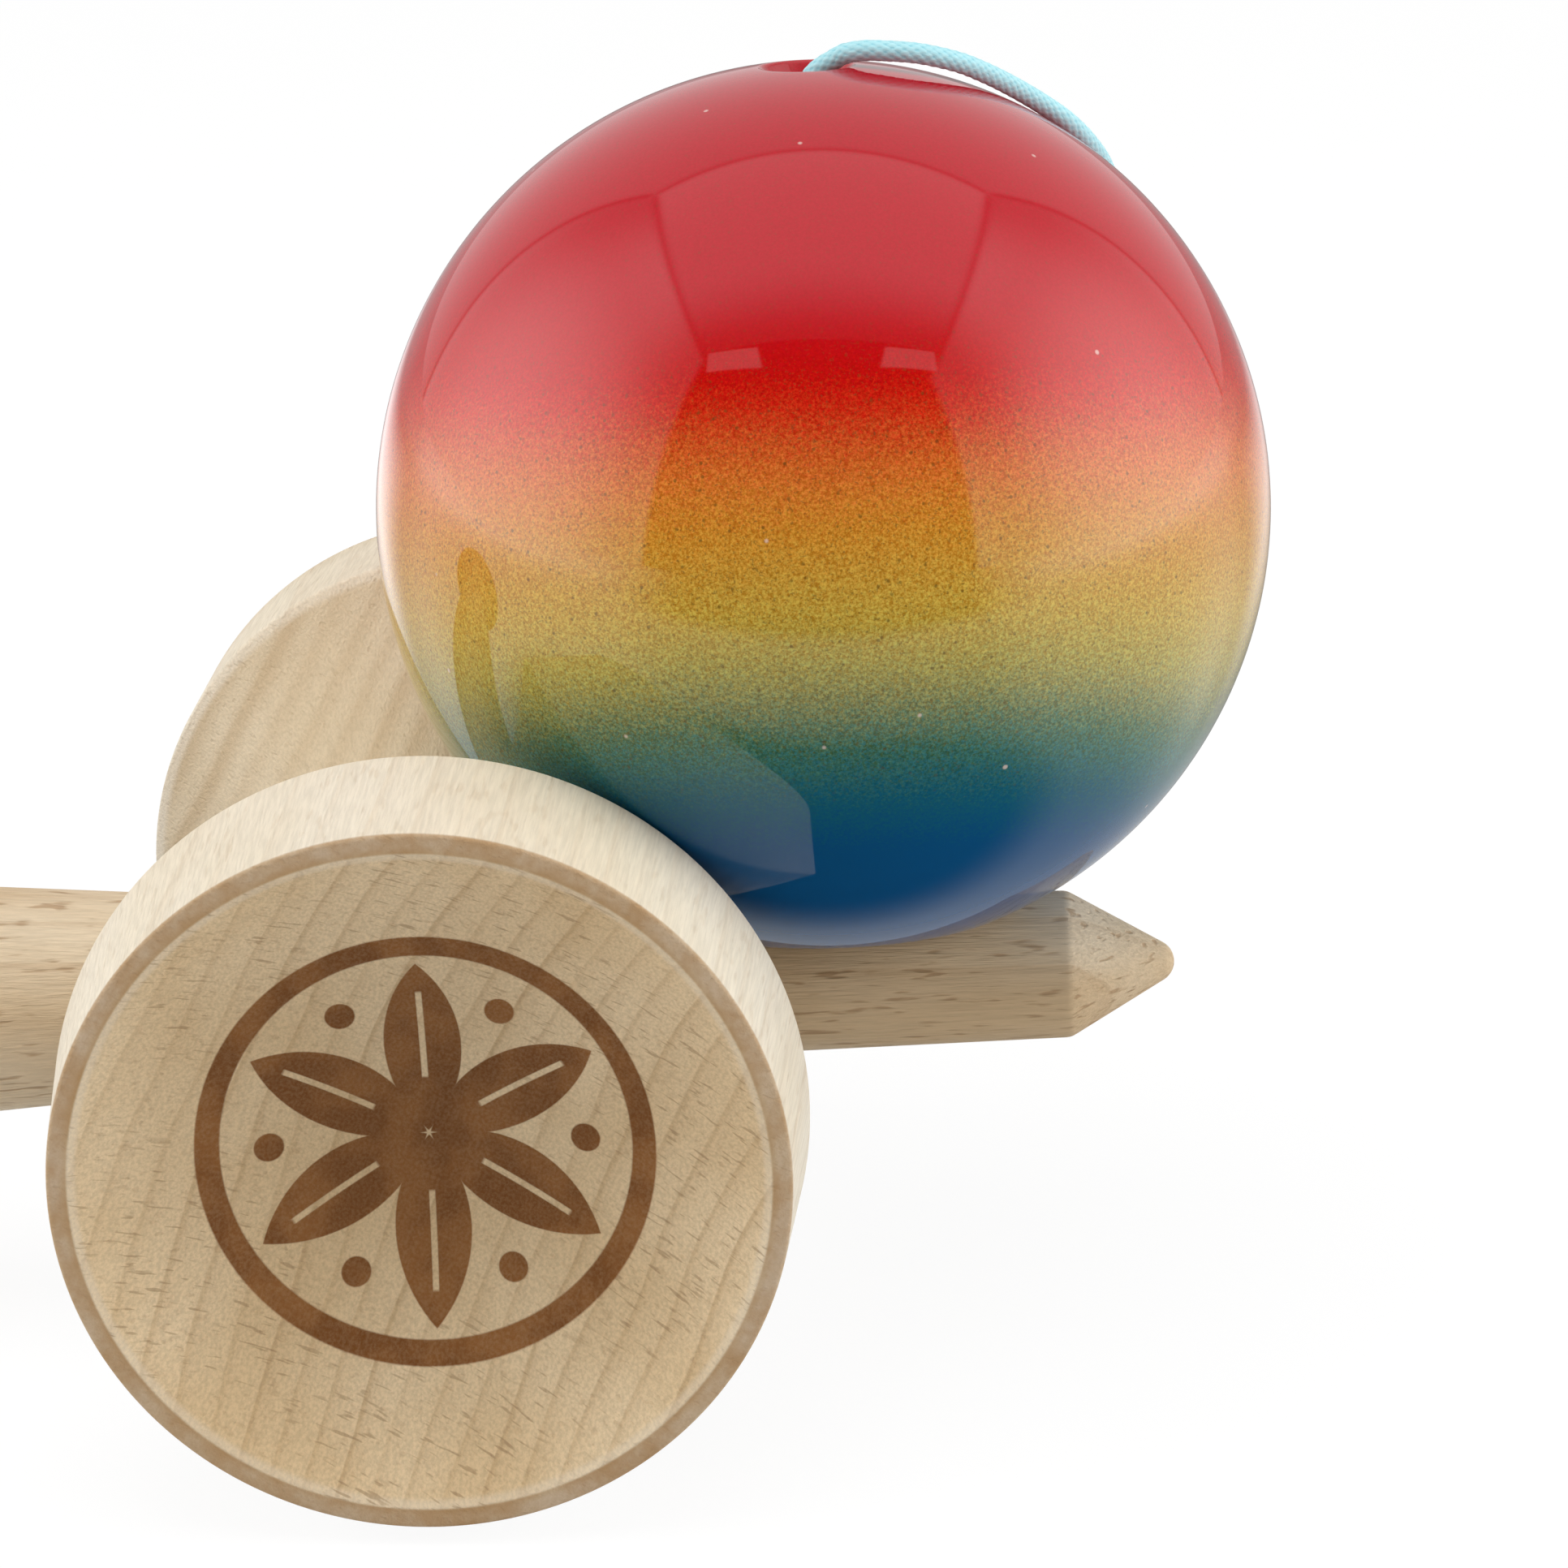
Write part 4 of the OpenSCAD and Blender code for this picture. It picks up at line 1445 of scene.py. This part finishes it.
    def dressed(
        self, name: str, line: list[Vector], r: float, sides: int, plain: bool = False
    ) -> bpy.types.Object:
        """Makes a length of string and gives it its thread.

        Args:
            name: Name of the piece.
            line: Middle line, in metres.
            r: Radius, in millimetres.
            sides: Facets around it.
            plain: Whether it stays without a braid.

        Returns:
            The piece.
        """
        piece = Bench.tube(name, line, r * MM, sides, None if plain else self.braid)
        g = material(piece, f"braid_{name}")
        relief = g.read(g.node("ShaderNodeAttribute", attribute_name="relief"), "Fac")
        twist = g.noise(g.node("ShaderNodeUVMap", uv_map="UVMap").outputs[0], (26.0, 9.0, 1.0))
        fuzz = g.noise(g.coordinates(), 2600.0)
        # Painted shade: the braid's low places between strands take the darker colour.
        colour = g.mix(relief.band(0.25, 0.85), self.deep, self.pale)
        # Painted sheen: lighter streaks along the twist.
        colour = g.mix(twist.band(0.4, 0.75, 0.0, 0.35), colour, self.light)
        colour = g.mix(fuzz.band(0.3, 0.7, 0.0, 0.12), colour, self.deep)
        rough = relief.band(0.2, 0.9, 0.85, 0.6)
        g.surface(colour, rough, twist, 0.00003, Sheen_Weight=0.25, Sheen_Roughness=0.5)
        return piece


@dataclass
class StopBead:
    """The wooden bead that keeps the string's end inside the ball."""

    shop: Workshop
    steps: int = 72
    ring_gap: float = 0.0016
    ring_bend: float = 8.0
    stain: BeechFinish = BeechFinish(
        pale=(0.30, 0.13, 0.055), warm=(0.24, 0.10, 0.04), ring=(0.14, 0.05, 0.02), ray=(0.1, 0.04, 0.015)
    )

    def build(self) -> None:
        """Turns and dresses the bead."""
        s = self.shop.sizes
        r, flat, bore = s.bead_d / 2, s.bead_flat, (s.string_d + s.bead_play) / 2
        edge = math.asin(flat / r)
        points = [(bore, flat), *Outline.arc((0.0, 0.0), r, edge, -edge, 40), (bore, -flat), (bore, flat)]
        soft = {1: 0.12, len(points) - 3: 0.12, len(points) - 2: 0.2}
        line = [Vector((x, 0.0, z)) for x, z in Outline.softened(points, soft)]
        piece = Bench.turned("stop_bead", line, Axis.UP, self.steps)
        Bench.settled(piece, self.shop.pose.ball_matrix(Vector((0, 0, s.bead_z))))
        self.dress(piece)
        self.shop.adopt(piece, Body.TETHER, Slot.BEAD, "bead")

    def dress(self, piece: bpy.types.Object) -> None:
        """Gives the bead its stained wood.

        Args:
            piece: The turned bead.
        """
        pose = self.shop.pose
        g = material(piece, "bead_wood")
        place = g.own_frame(pose.in_ball(ORIGIN), pose.turn @ Matrix.Rotation(math.pi / 2, 3, "Y"))
        wood = self.shop.wood(g, place, self.ring_gap, self.ring_bend)
        rough = wood["Fibres"].band(0.3, 0.7, 0.5, 0.35)
        g.surface(self.stain.figure(g, wood, 0.5, 0.4), rough, wood["Height"], 0.0001)


@dataclass(frozen=True)
class Lamp:
    """A soft square lamp: its place and width in metres and its power in watts."""

    name: str
    at: Triple
    size: float
    power: float


@dataclass(frozen=True)
class MirroredRoom:
    """The room as the lacquer mirrors it: strengths of the tent's walls and of the floor."""

    side_front: float = 3.25
    side_back: float = 1.15
    top_back: float = 1.15
    top_front: float = 0.18
    top_edge: float = 0.565
    back: float = 0.78
    rest: float = 0.05
    seam: float = 0.6
    pane_at: Point = (0.23, 1.462)
    pane_slants: Point = (0.31, 0.153)
    floor_sides: float = 1.4
    floor_far: float = 1.9
    floor_front: float = 0.8
    floor_left_corner: float = 1.5
    floor_right_corner: float = 0.9
    floor_shadow: float = 0.03

    def floor(self, g: Graph, x: Value, y: Value) -> Value:
        """Gives the floor as the lacquer mirrors it: a painted shadow of the toy under the ball, bright towards
        the tent's sides.

        Args:
            g: Graph of the floor's material.
            x: Place on the floor from the ball's foot to the right, in metres.
            y: Place to the back, in metres.

        Returns:
            The strength.
        """
        wide, far = abs(x), g.hypot(x, y)
        side = (wide / g.most(far, TINY)).band(0.55, 0.85) * far.band(0.05, 0.11)
        along = y / g.most(wide, TINY)
        # Painted shadow of the toy on the floor's mirror image: dark around the ball's foot, reaching further to
        # the left and to the front.
        shade_x = x / ((x < 0.0) * 0.075 + 0.06)
        shade_y = (y + 0.045) / (x.fall(-0.1, 0.0) * 0.01 + 0.042)
        under = g.hypot(shade_x, shade_y).band(0.72, 1.18, self.floor_shadow, 1.0)
        left = x.band(-0.11, -0.05, self.floor_left_corner, 0.0)
        right = x.band(0.05, 0.11, 0.0, self.floor_right_corner)
        corners = (left + right) * y.band(0.02, 0.12) * y.band(0.19, 0.42, 1.0, 0.12)
        middle = y.band(-0.3, -0.2, 0.06, self.floor_front) * y.band(0.04, 0.12, 1.0, 0.4) + corners
        # Painted shade: the middle of the floor darkens towards the ball's foot.
        middle = middle * far.band(0.03, 0.12, 0.65, 1.0)
        near = side * along.band(0.35, 0.95, 1.0, 0.4) * self.floor_sides
        panel = along.band(-0.95, -0.1, 0.2, 1.0) * along.band(0.0, 0.9, 1.0, 0.3)
        panel = side * panel * far.band(0.2, 0.9, 0.0, self.floor_far)
        return under * (near + (1.0 - side) * middle + panel)

    def tent(self, g: Graph) -> Value:
        """Gives the tent: bright sides, a softer top and back, an open front with two small panes.

        Args:
            g: Graph of the world.

        Returns:
            The strength.
        """
        x, y, z = g.parts(g.coordinates("Generated"))
        side, ahead = abs(x), g.most(y * -1.0, TINY)
        wide, high = g.most(side, TINY), g.most(z, TINY)
        back, top = y / 0.98, z / 1.66
        front = ahead / ((x > 0.0) * 0.25 + 1.0)
        side_lead = side - g.most(back, top, front)
        top_lead, back_lead = top - g.most(side, back), back - g.most(side, top)
        along, rise, reach = y / wide, z / wide, ahead / high
        side_light = along.band(0.0, 0.9, self.side_front, self.side_back) * along.band(-0.95, -0.1, 0.36, 1.0)
        side_light = side_light * rise.band(0.2, 1.2, 1.0, 0.5) * side_lead.band(-0.03, 0.04)
        top_light = reach.band(0.1, 0.56, self.top_back, self.top_front) * top_lead.band(-0.03, 0.04)
        top_light = top_light * reach.fall(self.top_edge - 0.01, self.top_edge + 0.01)
        back_light = back_lead.band(-0.03, 0.04) * self.back
        seam = g.most(side_lead, top_lead, back_lead).band(0.0, 0.022, self.seam, 1.0)
        u, v = side / ahead, z / ahead
        pane_x = abs(u - v * self.pane_slants[0] - self.pane_at[0]).fall(0.215, 0.25)
        pane_z = abs(v - u * self.pane_slants[1] - self.pane_at[1]).fall(0.14, 0.17)
        panes = pane_x * pane_z * (y < -0.05)
        return (side_light + top_light + back_light) * seam + panes + self.rest


@dataclass
class Studio:
    """Camera, floor, soft lamps and the light tent that the lacquer mirrors."""

    shop: Workshop
    eye: Triple = (68.426, -394.842, 183.149)
    ahead: Triple = (-0.01223, 0.93900, -0.34369)
    right: Triple = (0.99992, 0.01000, -0.00827)
    focal_px: float = 7600.0
    sensor: float = 36.0
    room: MirroredRoom = MirroredRoom()
    floor_size: float = 8.0
    floor_glow: float = 1.04
    floor_share: float = 0.89
    ambient: Colour = (1.0, 0.985, 0.96)
    ambient_strength: float = 0.23
    aim: Triple = (0.045, 0.0, 0.04)
    lamps: tuple[Lamp, ...] = (
        Lamp("lamp_top", (0.03, -0.15, 0.84), 0.7, 5.05),
        Lamp("lamp_left", (-0.78, -0.12, 0.28), 0.6, 3.95),
        Lamp("lamp_right", (0.88, -0.12, 0.28), 0.6, 4.4),
    )

    def camera(self) -> None:
        """Puts the camera where the photograph was taken."""
        Bench.clear()
        bpy.ops.object.camera_add()
        camera = bpy.context.object
        ahead, right = Vector(self.ahead).normalized(), Vector(self.right)
        right = (right - ahead * right.dot(ahead)).normalized()
        turn = Matrix((right, right.cross(ahead), -ahead)).transposed()
        camera.matrix_world = Matrix.Translation(Vector(self.eye) * MM) @ turn.to_4x4()
        camera.data.sensor_width = self.sensor
        camera.data.lens = self.focal_px / IMAGE_PX * self.sensor
        camera.data.clip_start, camera.data.clip_end = 0.01, 50.0
        bpy.context.scene.camera = camera

    def floor(self) -> None:
        """Lays a pale floor that keeps the toy's shadow."""
        Bench.clear()
        bpy.ops.mesh.primitive_plane_add(size=self.floor_size, location=(0, 0, 0))
        floor = bpy.context.object
        floor.name = "studio_floor"
        g = material(floor, "pale_floor")
        path = g.outputs(g.node("ShaderNodeLightPath"))
        place = g.coordinates()
        x, y, _ = g.parts(place)
        foot = self.shop.pose.place(self.shop.pose.ball_at) * MM
        pale = g.mix(g.noise(place, 40.0), (0.80, 0.80, 0.80), (0.84, 0.84, 0.84))
        matt = g.node("ShaderNodeBsdfDiffuse", {"Color": pale}).outputs[0]
        glow = g.shader("ShaderNodeEmission", WHITE, self.floor_glow)
        # Glossy rays see a glowing floor: a painted reflection of the lit floor, with the toy's painted shadow.
        mirror = g.shader("ShaderNodeEmission", WHITE, self.room.floor(g, x - foot.x, y - foot.y))
        seen = g.either(path["Is Camera Ray"] * self.floor_share, matt, glow)
        shiny = g.most(path["Is Glossy Ray"], path["Is Transmission Ray"])
        g.node("ShaderNodeOutputMaterial", {0: g.either(shiny, seen, mirror)})

    def tent(self) -> None:
        """Surrounds the toy with the tent: soft light, its mirror image, and white behind the toy."""
        world = bpy.data.worlds.new("light_tent")
        bpy.context.scene.world = world
        world.use_nodes = True
        g = Graph(world.node_tree)
        path = g.outputs(g.node("ShaderNodeLightPath"))
        soft = g.shader("ShaderNodeBackground", self.ambient, self.ambient_strength)
        mirror = g.shader("ShaderNodeBackground", WHITE, self.room.tent(g))
        shiny = g.most(path["Is Glossy Ray"], path["Is Transmission Ray"])
        white = g.shader("ShaderNodeBackground", WHITE)
        light = g.either(path["Is Camera Ray"], g.either(shiny, soft, mirror), white)
        g.node("ShaderNodeOutputWorld", {0: light})

    def hang(self, lamp: Lamp) -> None:
        """Hangs a lamp that points at the toy.

        Args:
            lamp: The lamp.
        """
        Bench.clear()
        way = Vector(self.aim) - Vector(lamp.at)
        bpy.ops.object.light_add(type="AREA", location=lamp.at, rotation=way.to_track_quat("-Z", "Y").to_euler())
        hung = bpy.context.object
        hung.name = lamp.name
        hung.data.size, hung.data.energy = lamp.size, lamp.power
        hung.visible_camera = hung.visible_glossy = False

    def build(self) -> None:
        """Sets up camera, floor, tent and lamps."""
        self.camera()
        self.floor()
        self.tent()
        for lamp in self.lamps:
            self.hang(lamp)
        bpy.context.scene.view_settings.view_transform = "Standard"


def main() -> None:
    """Builds the toy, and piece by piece."""
    logging.basicConfig(level=logging.INFO, format="%(message)s")
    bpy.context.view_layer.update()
    sizes = Sizes()
    shop = Workshop(sizes, RestingPose(sizes), Patterns.beech(), Patterns.rosette(), BeechFinish())
    for part in (Studio, PlayString, Stick, CrossCups, PaintedBall, StopBead):
        part(shop).build()


if __name__ == "__main__":
    main()
